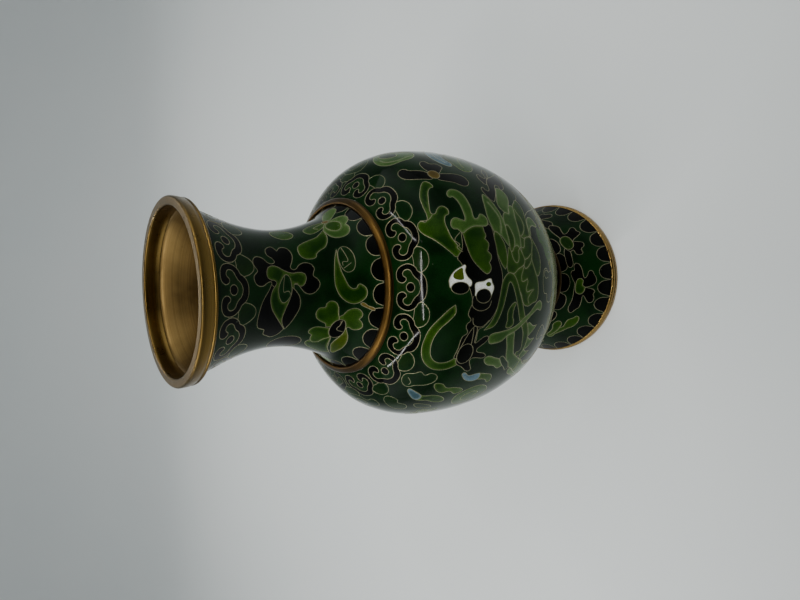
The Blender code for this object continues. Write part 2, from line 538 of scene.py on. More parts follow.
def ruyi_row(skin, count, first, half_width, top, height, drop):
    """Cloud heads hanging from a ring, with a drop between each two."""
    def fit(points, x):
        return [(x + px * half_width, top + py * height) for px, py in points]

    pitch = 360 / count
    low, reach = top + height * 0.68, pitch * 0.22
    left = [(-reach, low), (-reach, low + drop * 0.55), (-reach * 0.55, low + drop)]
    hanging = left + [(0, low + drop * 1.12)] + mirrored(left) + [(0, low - 0.5)]
    for k in range(count):
        skin.cell("deep", shifted(hanging, first + (k + 0.5) * pitch))
    for k in range(count):
        x = first + k * pitch
        field = [(0, 1.0)] + RUYI_SIDE + [(0.2, 0.0), (-0.2, 0.0)] + mirrored(RUYI_SIDE)
        skin.cell("deep", fit(field, x), wired=False)
        half = RUYI_SIDE + RUYI_CURL + RUYI_INNER
        skin.cell("black", fit([(0, 1.0)] + half + [(0, 0.79)] + mirrored(half), x))
        skin.cell("black", ellipse(x, top + height * 0.46, half_width * 0.2, height * 0.14))


def scallop_row(skin, count, first, base, height, up=True):
    """Half-round black scales standing on a ring, or hanging from one."""
    rng = random.Random(3)
    pitch = 360 / count
    sign = -1 if up else 1
    for k in range(count):
        x = first + k * pitch + rng.uniform(-0.04, 0.04) * pitch
        w = pitch * (0.44 + rng.uniform(-0.02, 0.03))
        h = height * rng.uniform(0.92, 1.08)
        left = [(-w, base - sign), (-w, base + sign * h * 0.35), (-w * 0.75, base + sign * h * 0.78)]
        skin.cell("black", shifted(left + [(0, base + sign * h)] + mirrored(left), x))


def neck_design(skin):
    """Cloud heads below the lip, scales on the collar, and a spray of flowers on each side."""
    ruyi_row(skin, count=10, first=0.0, half_width=17.6, top=2.2, height=10.2, drop=5.4)
    scallop_row(skin, count=22, first=10.0, base=60.5, height=5.2)
    skin.paint((neck_black_flower, 0), (neck_left_flower, 0), (neck_leaf, 0), (neck_right_flower, 0))


def neck_black_flower(skin):
    """A large flower in side view, black petals about a green heart."""
    skin.cell("black", [(-25, 27), (0, 28)] + tip(4.5, 21) + [(-1, 19.9), (-6, 18.5), (-12, 17.2),
        (-20, 16.4), (-28, 16.2), (-33, 16.9), (-35.2, 18.4), (-37, 19.5), (-41.6, 19.6), (-45, 21.2),
        (-48.2, 23.2), (-46.5, 25.3)] + tip(-40.6, 26.8))
    skin.cell("black", [(0, 23), (3, 21), (5.6, 20.8), (4.8, 19.4), (2.3, 17.8), (2.4, 16.1), (5.4, 14.9),
        (9.9, 14.7), (12.8, 15.8), (14.6, 16.3), (17.2, 15.7), (21, 15.1), (25.3, 15.8), (27.1, 17.3),
        (26, 19.1), (22.8, 20.4), (21.6, 21.9), (23.6, 23.1), (26.8, 22.5), (30, 21), (35, 21),
        (38.6, 22.3), (39.6, 23.8)] + tip(35.4, 25.2) + [(38.9, 26.3), (40.1, 28.1), (37.5, 29.5),
        (31, 30.1), (24, 29.3), (19, 28.4), (16.6, 29), (17.2, 30.2), (21, 31.6), (22.9, 33.6), (21, 35.7),
        (16.8, 36.5), (13, 36), (10.2, 35.8), (7, 37.1), (2.6, 37.8), (-2.8, 36.8), (-6.1, 34.7),
        (-5, 32.7), (-1.5, 31.4), (2.4, 30.2), (3, 29)])
    skin.cell("leaf", tip(-40.4, 27) + [(-34.3, 25.4), (-28, 23.7), (-22, 22.1), (-17, 21), (-11, 20.4),
        (-6, 20.5), (-1.2, 21.2), (2.5, 22.3), (4.9, 22.7), (6.8, 22), (7.4, 20.8), (9, 19.8), (11.8, 19.5),
        (15.4, 19.8), (18.4, 20.6), (19.8, 22), (19.3, 23.6), (16.8, 25.2), (14.4, 27), (13.3, 29),
        (13.9, 30.8), (12.6, 32.8), (9, 33.3), (5, 32.9), (1.6, 31.9), (1.6, 30.6), (3.8, 29.8),
        (2.4, 28.8), (-10, 29), (-25, 28.5)])
    skin.cell("black", tip(-40.4, 27.3) + [(-34.3, 25.9), (-28, 25.3), (-20, 25.9), (-12, 27), (-5, 27.9)]
        + tip(0.5, 28.2) + [(-3, 29.5), (-9, 30.8), (-17, 31.1), (-26, 30), (-34, 28.7)])
    skin.cell("deep", [(-13, 25.2), (-10.5, 24), (-5, 23.3), (1, 23.4), (6, 24.3), (10, 25.3), (12, 26.3),
        (10, 27.4), (5, 27.9), (-1, 28), (-6, 27.7), (-10.5, 26.7)])
    skin.wire([(11.5, 25.9), (5, 25.3), (-1, 25), (-3.6, 25.2), (-2.9, 26.1), (-3.1, 27), (-6, 27.6)])


def neck_left_flower(skin):
    """A green flower with a black heart and a long trailing petal."""
    skin.cell("black", [(-76, 27), (-68, 24.5), (-59, 24), (-53, 26.5), (-51.5, 31), (-54.5, 34.5),
        (-62, 36), (-72, 35), (-79, 32)])
    skin.cell("leaf", [(-77, 46), (-73, 41.5), (-66, 38.3), (-59.5, 37.8), (-52, 42), (-49, 44.6),
        (-56, 45.6), (-66, 47), (-74, 49)])
    skin.cell("leaf", [(-48.5, 44.5), (-54, 42.6)] + tip(-58.6, 41.8) + [(-60, 40.1), (-57, 38.7),
        (-52.8, 38.1), (-49.3, 38), (-46.5, 36.6), (-42, 36.6), (-38.6, 38.2), (-38.6, 41), (-40, 44)])
    skin.cell("leaf", tip(-37.6, 41.6) + [(-34.2, 41), (-32.2, 39.3), (-29, 37.6), (-23.5, 37),
        (-19.2, 37.9), (-18, 39.9), (-14.6, 40.3), (-12.6, 41.6), (-13.8, 43.4), (-18, 44.4), (-24.8, 44.9),
        (-31, 46), (-36, 44.5)])
    skin.cell("leaf", [(-26.5, 45.4), (-24.4, 46.4), (-20.2, 47.7), (-18, 49.8), (-18.7, 51.7), (-22.4, 53)]
        + tip(-26.6, 52.2) + [(-29.2, 53.5), (-32.4, 53.9), (-35.6, 52.7), (-36.6, 51), (-35.2, 49.2),
        (-38, 48.4), (-34, 46)])
    skin.cell("olive", tip(-36, 48.7) + [(-44, 48.1), (-52, 47), (-58.3, 46.8), (-64, 47.8), (-72, 50.2),
        (-66, 50.9), (-59, 51.4), (-51, 51.3), (-44.5, 50.6), (-39.5, 49.4)])
    skin.wire([(-48.4, 44.9), (-55, 45.3), (-62, 46), (-69, 47.8), (-76, 50.4)])
    skin.cell("black", [(-48.6, 45.2), (-45.2, 43.7), (-38.7, 43.2), (-32.2, 44), (-28.9, 45.8),
        (-30.2, 47.6), (-37, 48.5), (-44.4, 48.1), (-48, 46.8)])
    skin.wire([(-40.4, 47.9), (-39.9, 46.1), (-38.2, 45.6), (-34.3, 46.3), (-29.6, 46.6)])


def neck_leaf(skin):
    """A curled leaf with an oval bud, and its short stem."""
    skin.cell("ochre", [(-14.4, 51.8), (-13, 52.6), (-15, 54.4), (-16.2, 56.6), (-17.8, 56.6), (-16.6, 54)])
    skin.cell("leaf", [(0.6, 51.9), (-2.3, 53.4), (-7.2, 53.7), (-12, 52.1), (-14.4, 49.4), (-12.6, 46.7),
        (-7.2, 44.3), (0.4, 43), (8, 42.9), (16, 43.4), (24.3, 44.3)] + tip(32.2, 45.8) + [(26.5, 45.4),
        (19.5, 45.2), (12.4, 45.5), (5.9, 46.4), (0.4, 47.4), (-2.3, 48.8), (-1.9, 50.1), (0.8, 50.9)])
    skin.cell("deep", [(10.8, 48), (12.6, 46.5), (18, 45.5), (25, 45.5), (30.5, 46.2), (33.2, 47.8),
        (31.6, 49.6), (25.4, 50.8), (17.8, 50.8), (12.6, 49.8)])
    skin.wire([(32.4, 47.5), (25, 48.2), (20, 48.3), (19.8, 46.6), (16.8, 46.4)])
    skin.wire([(14.4, 46.5), (16.4, 48), (18.2, 49.4)])


def neck_right_flower(skin):
    """A green flower seen from the side, with one paler petal."""
    skin.cell("leaf", [(51.5, 31), (53.5, 28), (60, 26.5), (67, 27.5), (70, 31), (66, 33.6), (57.5, 34.2)])
    skin.cell("pale_leaf", [(69, 50), (73, 49.2), (81, 51), (87.6, 53.8), (86, 56.8), (78, 57), (73, 53.8)])
    skin.cell("leaf", [(68, 48.5), (62, 46.5), (57.5, 43.5), (55.7, 40.6), (59, 39.1), (64.8, 39.2),
        (69.4, 41.4), (71.4, 45)])
    skin.wire([(61, 44.2), (64.2, 43.2), (66.8, 45.2), (68.2, 48)])
    skin.cell("pale_leaf", tip(56, 45.2) + [(48.3, 45.8), (43.9, 47.3), (42.7, 49.9), (44.4, 52.5),
        (49.2, 53.9)] + tip(54.6, 53.7) + [(57.6, 55.6), (62.4, 55.9), (66.8, 54.3), (68.5, 51.2),
        (67, 48.5), (60, 46)])
    skin.cell("leaf", [(51.4, 50), (53.6, 47.9), (59, 47), (64.4, 48), (66, 50.5), (61.3, 52.3),
        (54.9, 51.9)])
    skin.cell("leaf", [(26, 36.5), (26.8, 34.3), (30, 33), (35.2, 32.7), (40.8, 33.4), (45, 35.8),
        (47.3, 38.2), (49.6, 41.2), (53.4, 43.4)] + tip(57, 45.2) + [(48.5, 45), (41.7, 44), (36.3, 42.4),
        (33.5, 40.1), (30.6, 38.7), (27.4, 38.1)])
    skin.cell("ochre", ellipse(69.2, 48.9, 2.6, 1.3))


def foot_design(skin):
    """Scales on the ring and under the waist, and flowers between them."""
    scallop_row(skin, count=28, first=3.6, base=26.4, height=7.6)
    scallop_row(skin, count=16, first=-5.5, base=-0.2, height=4.3, up=False)
    skin.paint((foot_green_flower, 0), (foot_black_flower, 0), (foot_black_flower, 93),
               (foot_full_flower, 0))


def foot_black_flower(skin):
    """A black flower from above, with a green heart."""
    skin.cell("black", [(-13, 6.4), (-23.8, 6.7), (-30.6, 6.5), (-34.8, 7.4), (-35.9, 9.1), (-31.5, 10.4),
        (-28.7, 11.5), (-22.9, 11.5), (-17.4, 11.3), (-17.4, 12.0), (-20.5, 13.6), (-22.5, 15.3),
        (-21, 17.2), (-17.6, 17.3), (-15, 16.5), (-12.2, 17.0), (-10.4, 15.3)] + tip(-9.6, 11.4)
        + [(-7.6, 15.3), (-4.6, 17.3), (-1.7, 17.3), (1.2, 16.4), (4.5, 15.4), (4.6, 13.7), (1.2, 12.8),
        (-1.2, 11.5), (0.2, 10.8), (6.9, 10.3), (11.8, 9.3), (13.2, 7.7), (10.8, 6.6), (7, 6.5), (6, 5.1),
        (3.1, 4.5), (-2.5, 5.4), (-6, 6.3)])
    skin.cell("leaf", [(-16.2, 9.1), (-14.2, 7.3), (-8.5, 6.9), (-2.7, 7.6), (-1.5, 9.4), (-3.7, 10.7),
        (-7.6, 10.4), (-9.4, 11.7), (-13.3, 11.5), (-15.7, 10.4)])


def foot_full_flower(skin):
    """A black flower from the side, with a green heart and one loose petal."""
    skin.cell("black", [(9.8, 4.6), (12.7, 3.4), (18, 3.3), (26, 3.9), (31, 5.8), (28, 7.1), (18, 6.7),
        (12, 6.2)])
    skin.cell("black", [(30, 5.8), (25.9, 7.1), (26.2, 8.9), (22.3, 9.4), (20.4, 10.8), (21.3, 12.8),
        (25.2, 12.9), (27.1, 14.8), (30, 15.3), (32, 13.8)] + tip(34.6, 10.9) + [(36.3, 12.2), (37.7, 14.9),
        (39.7, 17.1), (42.5, 16.3), (46.3, 16.4), (47.8, 14.8), (45.4, 12.2), (45.2, 9.8), (49.2, 10.0),
        (54.8, 11.0), (59.8, 10.1), (62.7, 8.5), (58.8, 6.7), (51, 6.1), (43, 6.4), (36, 5.6)])
    skin.cell("leaf", [(28, 8.1), (29.5, 6.1), (34.8, 5.0), (40.6, 5.5), (43.3, 7.6), (41.5, 10.0),
        (36, 10.8), (31, 10.3)])


def foot_green_flower(skin):
    """A green flower in bud."""
    skin.cell("leaf", [(-72, 12.8), (-65, 12.2), (-58.5, 12.8), (-52.7, 13.6), (-48.8, 14.9), (-43.1, 15.4),
        (-38.3, 14.6), (-37.3, 12.8), (-40.2, 11.8), (-44, 10.2), (-48.8, 10.4), (-53, 11.0)]
        + tip(-56, 10.1) + [(-50.8, 9.1), (-49.2, 7.1), (-51.7, 6.0), (-56.5, 6.0), (-61.3, 7.9),
        (-66, 9.0), (-72, 10.1)])
    skin.wire([(-71, 11.5), (-62, 10.9), (-56, 10.2)])


# ---------------------------------------------------------------- the body

def moved(skin, points, x, y, turn=0.0, size=1.0, flip=False):
    """Millimetre points set down at (x, y) on the skin, turned by so many degrees."""
    c, s = math.cos(math.radians(turn)) * size, math.sin(math.radians(turn)) * size
    wide = skin.scale(y)
    sign = -1 if flip else 1
    return [(x + (sign * px * c - py * s) / wide, y + sign * px * s + py * c) for px, py in points]


def band(skin, spine, widths, count):
    """A tapering band: points along its smooth spine, the sideways direction there, and the half widths."""
    line = smooth(spine, False, skin.scale(spine[len(spine) // 2][1]))
    pick = np.linspace(0, len(line) - 1, count)
    line = np.stack([np.interp(pick, np.arange(len(line)), line[:, k]) for k in (0, 1)], 1)
    wide = np.array([skin.scale(y) for y in line[:, 1]])
    along = np.gradient(line, axis=0) * np.stack([wide, np.ones(count)], 1)
    along /= np.hypot(along[:, 0], along[:, 1])[:, None]
    side = np.stack([-along[:, 1] / wide, along[:, 0]], 1)
    half = np.interp(np.linspace(0, 1, count), np.linspace(0, 1, len(widths)), widths)[:, None]
    return line, side, half


def body_design(skin):
    """Cloud heads under the collar, petals on the waist, and a dragon on each side."""
    ruyi_row(skin, count=14, first=-2.0, half_width=11.9, top=0.2, height=10.3, drop=4.2)
    lappet_row(skin, count=18, first=0.0, top=107.5, bottom=128.0)
    skin.paint((lower_clouds, 0), (dragon_body, 0), (side_clouds, 0), (mane, 0), (dragon_head, 0),
               (flames, 0), (small_flower, 0))


def lappet_row(skin, count, first, top, bottom):
    """Petal-shaped panels standing on the waist, one inside another."""
    pitch = 360 / count
    tall = bottom - top
    w = pitch * 0.3
    right = [(w * 0.8, top + tall * 0.34), (w, top + tall * 0.5), (w, bottom)]
    between = tip(0, top + tall * 0.12) + right + mirrored(right)
    for k in range(count):
        skin.cell("leaf", shifted(between, first + (k + 0.5) * pitch))
    for k in range(count):
        for colour, share, head in (("black", 0.43, 0.0), ("olive", 0.27, 0.22), ("deep", 0.13, 0.42)):
            w = pitch * share
            peak = top + tall * head
            right = [(w * 0.72, peak + tall * 0.17), (w, peak + tall * 0.34), (w * 0.94, bottom)]
            skin.cell(colour, shifted(tip(0, peak) + right + mirrored(right), first + k * pitch))


# A trailing cloud and its curls, in millimetres
CLOUD = [(-9.5, 3.4), (-6.5, 3.2), (-4.6, 1.6), (-4.2, -0.8), (-2.2, -2.6), (0.2, -2.2), (1.4, -3.6),
         (4, -4.4), (6.4, -3.4), (7, -1.4), (9.2, -1.2), (10.2, 0.8), (9, 2.6), (5.5, 3.2), (1.5, 3.0),
         (-2.5, 4.0), (-6, 4.6)]
CURLS = [[(-2.6, 2.9), (-3.2, 0.8), (-2.2, -0.9), (-0.6, -0.8), (-0.4, 0.6), (-1.4, 0.9)],
         [(1.6, 2.0), (1.4, -0.4), (3, -2.2), (5, -2), (5.4, -0.4), (4.2, 0.3), (3.4, -0.4)],
         [(5.6, 2.2), (6.6, 0.6), (8, 0.6), (8.3, 1.5), (7.5, 1.7)]]


def cloud(skin, colour, x, y, turn=0.0, size=1.0, flip=False):
    """A small trailing cloud with curls."""
    skin.cell(colour, moved(skin, CLOUD, x, y, turn, size, flip))
    for curl in CURLS:
        skin.wire(moved(skin, curl, x, y, turn, size, flip))


def lower_clouds(skin):
    """A double row of clouds under the dragon's coil."""
    cloud(skin, "deep", -80, 92, 8)
    cloud(skin, "leaf", -58, 99, -6, 0.95, True)
    cloud(skin, "sky", -36, 90, 5)
    cloud(skin, "leaf", -14, 98, 0, 1.0, True)
    cloud(skin, "deep", 8, 90.5, -8)
    cloud(skin, "olive", 31, 98.5, 6)
    cloud(skin, "sky", 53, 90.5, -4, 0.95, True)
    cloud(skin, "leaf", 76, 98, 4)
    cloud(skin, "deep", 92, 89, 0, 0.8, True)


def side_clouds(skin):
    """The big cloud, the streak and the leaf beside the dragon, and the clouds between two dragons."""
    skin.cell("deep", [(-100, 12.5), (-95, 10.8), (-88, 11), (-84, 13), (-79, 12.5), (-77.5, 14.5),
        (-80, 17), (-86, 17.5), (-90, 19.5), (-97, 18.5)])
    skin.wire([(-96, 17), (-93, 13.4), (-88, 13.4), (-87, 15.4), (-90, 16)])
    skin.cell("deep", [(-74, 20.5), (-73, 15.5), (-69.5, 13), (-66, 13.5), (-65, 16.5), (-67, 18),
        (-66, 21), (-70, 23)])
    cloud(skin, "leaf", -72, 31, 20, 0.8)
    cloud(skin, "sky", -86, 40, -10, 0.8, True)
    skin.cell("pale_leaf", [(63.5, 22), (65, 17.5), (70, 15.6), (76, 16.8), (80.5, 19.5), (84, 23.5),
        (81.5, 28), (76, 27.5), (72, 30.4), (66.5, 29.6), (63.2, 26.2)])
    skin.cell("deep", [(70.5, 23.2), (73.5, 20.6), (78, 20.8), (80.6, 23.4), (78, 25.8), (73, 25.6)])
    skin.wire([(66, 27.6), (65.8, 21.6), (69, 18.2), (74, 18.4)])
    skin.cell("sky", [(51.5, 36), (54.5, 33.4), (60, 32.8), (66, 34.8), (71.4, 38.2), (75.4, 43),
        (70.5, 43.4), (64.4, 40.4), (58.4, 38.2), (53.5, 38.2)])
    skin.wire([(55, 36), (61, 36), (67, 38.6), (72, 42)])
    skin.cell("leaf", [(48, 40.4), (52, 39), (60, 40.4), (66, 44), (69.4, 49.5), (66.5, 53.4), (60.4, 52.4),
        (53, 48.4), (48.6, 44.6)])
    skin.wire([(50.5, 42), (57, 44.4), (63, 49.4), (66, 52)])


def scales(skin, line, side, half, step):
    """Rows of arcs along a band, broken like tiles."""
    wide = [skin.scale(y) for y in line[1:, 1]]
    lengths = np.diff(line, axis=0) * np.stack([wide, np.ones(len(wide))], 1)
    run = np.concatenate([[0], np.cumsum(np.hypot(lengths[:, 0], lengths[:, 1]))])
    for k in range(1, int(run[-1] / step)):
        at = run[-1] * k / int(run[-1] / step)

        def spot(across, ahead):
            i = np.interp(at + ahead, run, np.arange(len(run)))
            centre = [np.interp(i, np.arange(len(run)), line[:, c]) for c in (0, 1)]
            out = [np.interp(i, np.arange(len(run)), (side * half)[:, c]) for c in (0, 1)]
            return centre[0] + out[0] * across, centre[1] + out[1] * across

        w = 0.33
        for middle in (-0.62, 0.02, 0.66) if k % 2 else (-0.3, 0.36):
            arch = [(-w, -0.1), (-w * 0.7, 0.55), (0.0, 0.85), (w * 0.7, 0.55), (w, -0.1)]
            skin.wire([spot(middle + across, step * ahead) for across, ahead in arch])


def fins(skin, line, side, half, step, height):
    """Small pointed fins along the back of a band."""
    count = len(line)
    edge = line - side * half
    for k in range(2, count - 3, step):
        a, b = edge[k], edge[min(k + step, count - 1)]
        mid = (a + b) / 2 - side[k] * height
        skin.cell("olive", [tuple(line[k]), tuple(a)] + tip(*(mid + (b - a) * 0.35)) + [tuple(b),
            tuple(line[k + 1])])


def dragon_body(skin):
    """The coil across the lower belly, from behind the beard to a leafy tail."""
    spine = [(-37, 56.5), (-41, 62), (-44.5, 68), (-44, 75), (-34, 80.5), (-18, 79.5), (2, 76.5), (22, 75),
             (42, 77), (58, 74.5), (68, 67), (78, 61), (86, 63)]
    half_widths = [3.0, 3.6, 4.6, 4.8, 4.4, 3.6, 2.2, 1.0]
    line, side, half = band(skin, spine, half_widths, count=60)
    leg(skin, -30, 84, 150)
    leg(skin, 36, 83, 20, 0.9)
    fins(skin, line, side, half, step=3, height=2.3)
    skin.cell("pale_leaf", [tuple(p) for p in line[::3] + (side * half)[::3]]
        + [tuple(p) for p in (line - side * half)[::3][::-1]])
    skin.wire([tuple(p) for p in (line + side * half * 0.5)[::3]])
    scales(skin, line[14:], side[14:] * 0.8, half[14:] * 0.72, step=4.6)
    tail = [(0, 0), (5, -4), (11, -6.4), (16, -5.5), (12, -2.6), (18, -1), (12, 1), (16.5, 4.6),
            (10.5, 4.8), (5, 3.2)]
    skin.cell("olive", moved(skin, tail, 84, 63, 14, 0.8))
    skin.wire(moved(skin, [(1, 0), (6, -1.6), (11, -4.4)], 84, 63, 14, 0.8))
    skin.wire(moved(skin, [(2, 0.6), (8, 1.6), (13, 3.2)], 84, 63, 14, 0.8))
    # two clouds under the coil
    skin.cell("deep", [(-10, 70.5), (-9.6, 67.6), (-6.6, 66.6), (-6, 64.2), (-4, 63.4), (0, 63), (3, 64),
        (4.1, 66.4), (2.4, 68.2), (3, 71), (-1, 73), (-6, 72.6)])
    skin.wire([(0.4, 67.8), (0, 65.4), (1.6, 64.4), (3.3, 65.8), (2.3, 68.1)])
    skin.cell("deep", [(-26.4, 66.4), (-25, 65.2), (-22, 65.4), (-20, 67), (-20.6, 68.8), (-22.4, 70.8),
        (-23.8, 73), (-26.4, 73.4), (-25.4, 70), (-26.6, 68.4)])
    skin.cell("pale_leaf", [(7, 70), (9, 67.5), (13, 66.6), (15.5, 64.2), (19, 64), (21.5, 66), (21, 69),
        (22.5, 71.5), (17, 72.6), (11, 72.2)], wired=False)
    # the chest, with a ridge of points
    skin.cell("leaf", [(2.3, 42.6), (3.6, 46.6), (5.3, 50.2), (4, 51), (5.5, 54), (7.6, 55.6), (3, 57.2),
        (0, 58.6), (-5, 59.3), (-8.6, 58.4), (-9.4, 56), (-10.4, 53), (-9.5, 50.2), (-5, 47.8), (-1, 44)])
    skin.wire([(5, 50.3), (3.5, 49.7), (1.5, 48.6), (-0.5, 48.5), (-0.9, 49.6)] + tip(0, 51.9)
        + [(-1.4, 52.1), (-3.5, 51.2), (-4.9, 51.8), (-4.4, 54)] + tip(-4.2, 55.9) + [(-5.8, 53.8),
        (-7.6, 52.6), (-9.4, 53.4)])


LEG = [(0, -3.2), (5, -3.6), (9.5, -2.2), (12.5, -2.6), (15, -5.2), (18.4, -6.4), (17.6, -3.8),
       (16.4, -2.0), (20.2, -2.9), (22.6, -1.2), (19.4, -0.2), (17.4, 0.6), (20.4, 1.6), (20.8, 4.0),
       (18.0, 3.0), (15.4, 2.4), (16.4, 5.0), (14.2, 6.0), (12.6, 3.4), (8.6, 2.8), (4.4, 3.6), (0, 3.4)]


def leg(skin, x, y, lean, size=1.0):
    """A foreleg with four claws, pointing along lean."""
    skin.cell("pale_leaf", moved(skin, LEG, x, y, lean, size))
    skin.wire(moved(skin, [(2, -1.2), (6, -1.6), (9.6, 0), (12.6, 0)], x, y, lean, size))
    for k in range(3):
        skin.wire(moved(skin, [(2.6 + 2.6 * k, 3.0), (3.4 + 2.6 * k, 1.4), (4.6 + 2.6 * k, 1.2),
            (5.2 + 2.6 * k, 2.8)], x, y, lean, size))


def mane(skin):
    """Leafy tufts behind the jaw, from the lowest to the uppermost, and the dark smoke beside them."""
    skin.cell("black", [(31, 44.2), (32, 42.8), (34.5, 41.7), (37, 41.4), (38.2, 42.8), (36.8, 43.4),
        (36.4, 44.8), (38, 46), (40.5, 46.8), (43, 48.5), (45, 51), (46.5, 54), (48, 56.6), (50, 59.6),
        (52.5, 62.6), (47, 60.4), (42, 57.4), (39.6, 56), (38.6, 54.6), (38.2, 53), (40, 53.2), (40.8, 52),
        (39, 50), (36, 48.4), (32.6, 45.8)])
    skin.cell("black", [(40, 45.8), (42, 44.7), (44.6, 44.7), (46.6, 46.4), (45, 47), (44.2, 48),
        (45.2, 49.6), (48.5, 50.3), (50.5, 52), (52, 54.2), (49.6, 53.8), (46.6, 52), (44, 49.4),
        (41.6, 47.4)])
    skin.wire([(25.8, 59.6), (28, 62.5), (29.3, 65), (30.5, 68), (32, 70.6)])
    skin.wire([(33.2, 58.4), (34.5, 60), (37, 61.5), (39.6, 61)])
    skin.cell("leaf", [(1, 58.5), (3, 57.2), (7.5, 55.8), (12, 57), (16.2, 58.2), (14.5, 59.4), (11.5, 61),
        (8, 61.8), (5, 61.6), (2, 60.3)])
    skin.cell("pale_leaf", [(16.5, 57.6), (20, 58.3), (22.6, 58.8), (24.6, 60), (25.8, 62.4), (24.6, 65),
        (22, 66), (21.8, 62.4), (20.6, 60), (17, 58.6)])
    skin.cell("leaf", [(16, 51.2), (21, 51.5), (24, 52.2), (29.5, 53.8), (32, 56.4), (33.4, 58.6), (30, 60),
        (26, 59.4), (22, 58.4), (17, 57.4), (16.2, 55.6), (15.6, 53)])
    skin.wire([(16.6, 52.2), (17.4, 53.4), (19.2, 55), (21.6, 55.9), (24.5, 55.8), (26.5, 54.8),
        (28.6, 54.4)])
    skin.cell("pale_leaf", [(26, 47.4), (28, 45.6), (30, 45.3), (32.5, 46.5), (36, 48.5), (38.6, 50.6),
        (38, 53), (35.4, 54.2), (32, 53.2), (29.5, 51.3), (27.4, 50), (25.8, 49)])
    skin.cell("leaf", [(7.4, 51.2), (10, 50.3), (12.4, 50.3), (16.5, 51.2), (15.7, 53), (16.3, 55.6),
        (16.2, 57.6), (14, 58), (11, 56.8), (7.6, 55.6), (5.5, 54), (3.9, 51.2), (5.4, 50.4)])
    skin.wire([(12.2, 50.6), (11.8, 51.6), (12.8, 52.6), (14.9, 53.3), (16, 54.5)])
    skin.wire([(7.3, 51.3), (8, 53.5), (9.6, 55.6)])
    skin.cell("pale_leaf", [(10.5, 48.4), (12, 46.3), (15, 46.8), (18, 46.6), (20.5, 45.6), (20.8, 44.7),
        (23, 44.7), (25.5, 46), (26.2, 47.6), (25.8, 49.2), (27.5, 50.2), (29.5, 51.4), (29.5, 53.6),
        (24, 52.1), (16.5, 51.2), (12.2, 50.3), (11.4, 49.3)])
    skin.cell("leaf", [(2.4, 41.6), (4.8, 41), (7, 41.5), (10, 42.5), (11.8, 43.3), (10.5, 44.5),
        (12, 46.3), (12.6, 48.2), (11.4, 49.4), (9.8, 50.3), (7.2, 51.2), (5.3, 50.3), (3.8, 47),
        (2.2, 44.4)])
    skin.wire([(10.4, 44.3), (8, 44.6), (6.4, 45.6), (6.2, 46.9), (8, 48), (10.5, 48.3), (11.5, 49.3)])
    skin.cell("leaf", [(10.4, 44.3), (13, 44.2), (17, 44.3), (20.2, 44.6), (20.6, 46), (18, 47.1),
        (15, 47.4), (12, 46.3)])
    skin.cell("pale_leaf", tip(12.2, 43.7) + [(13.6, 42.6), (16, 41.2), (17.3, 39.4), (17.8, 38.2),
        (21, 37.4), (24, 37.2), (27, 37.7), (30, 38.4), (33, 39.3), (34.3, 40.5), (32.5, 42), (29.5, 43.3),
        (26, 44.2), (22, 44.6), (17, 44.3), (14, 44.3)])
    skin.wire([(17.3, 41.1), (20, 42.2), (23.4, 43), (26.5, 42.2), (30.6, 40.6)])
    skin.cell("leaf", tip(3.8, 40) + [(5.5, 38.7), (9.5, 37.2), (12, 36.8), (15.5, 37.2), (17.8, 38.2),
        (17.5, 39.5), (16, 40.5), (13.5, 41.5), (10.5, 41.8), (7, 41.5), (4.7, 40.8)])


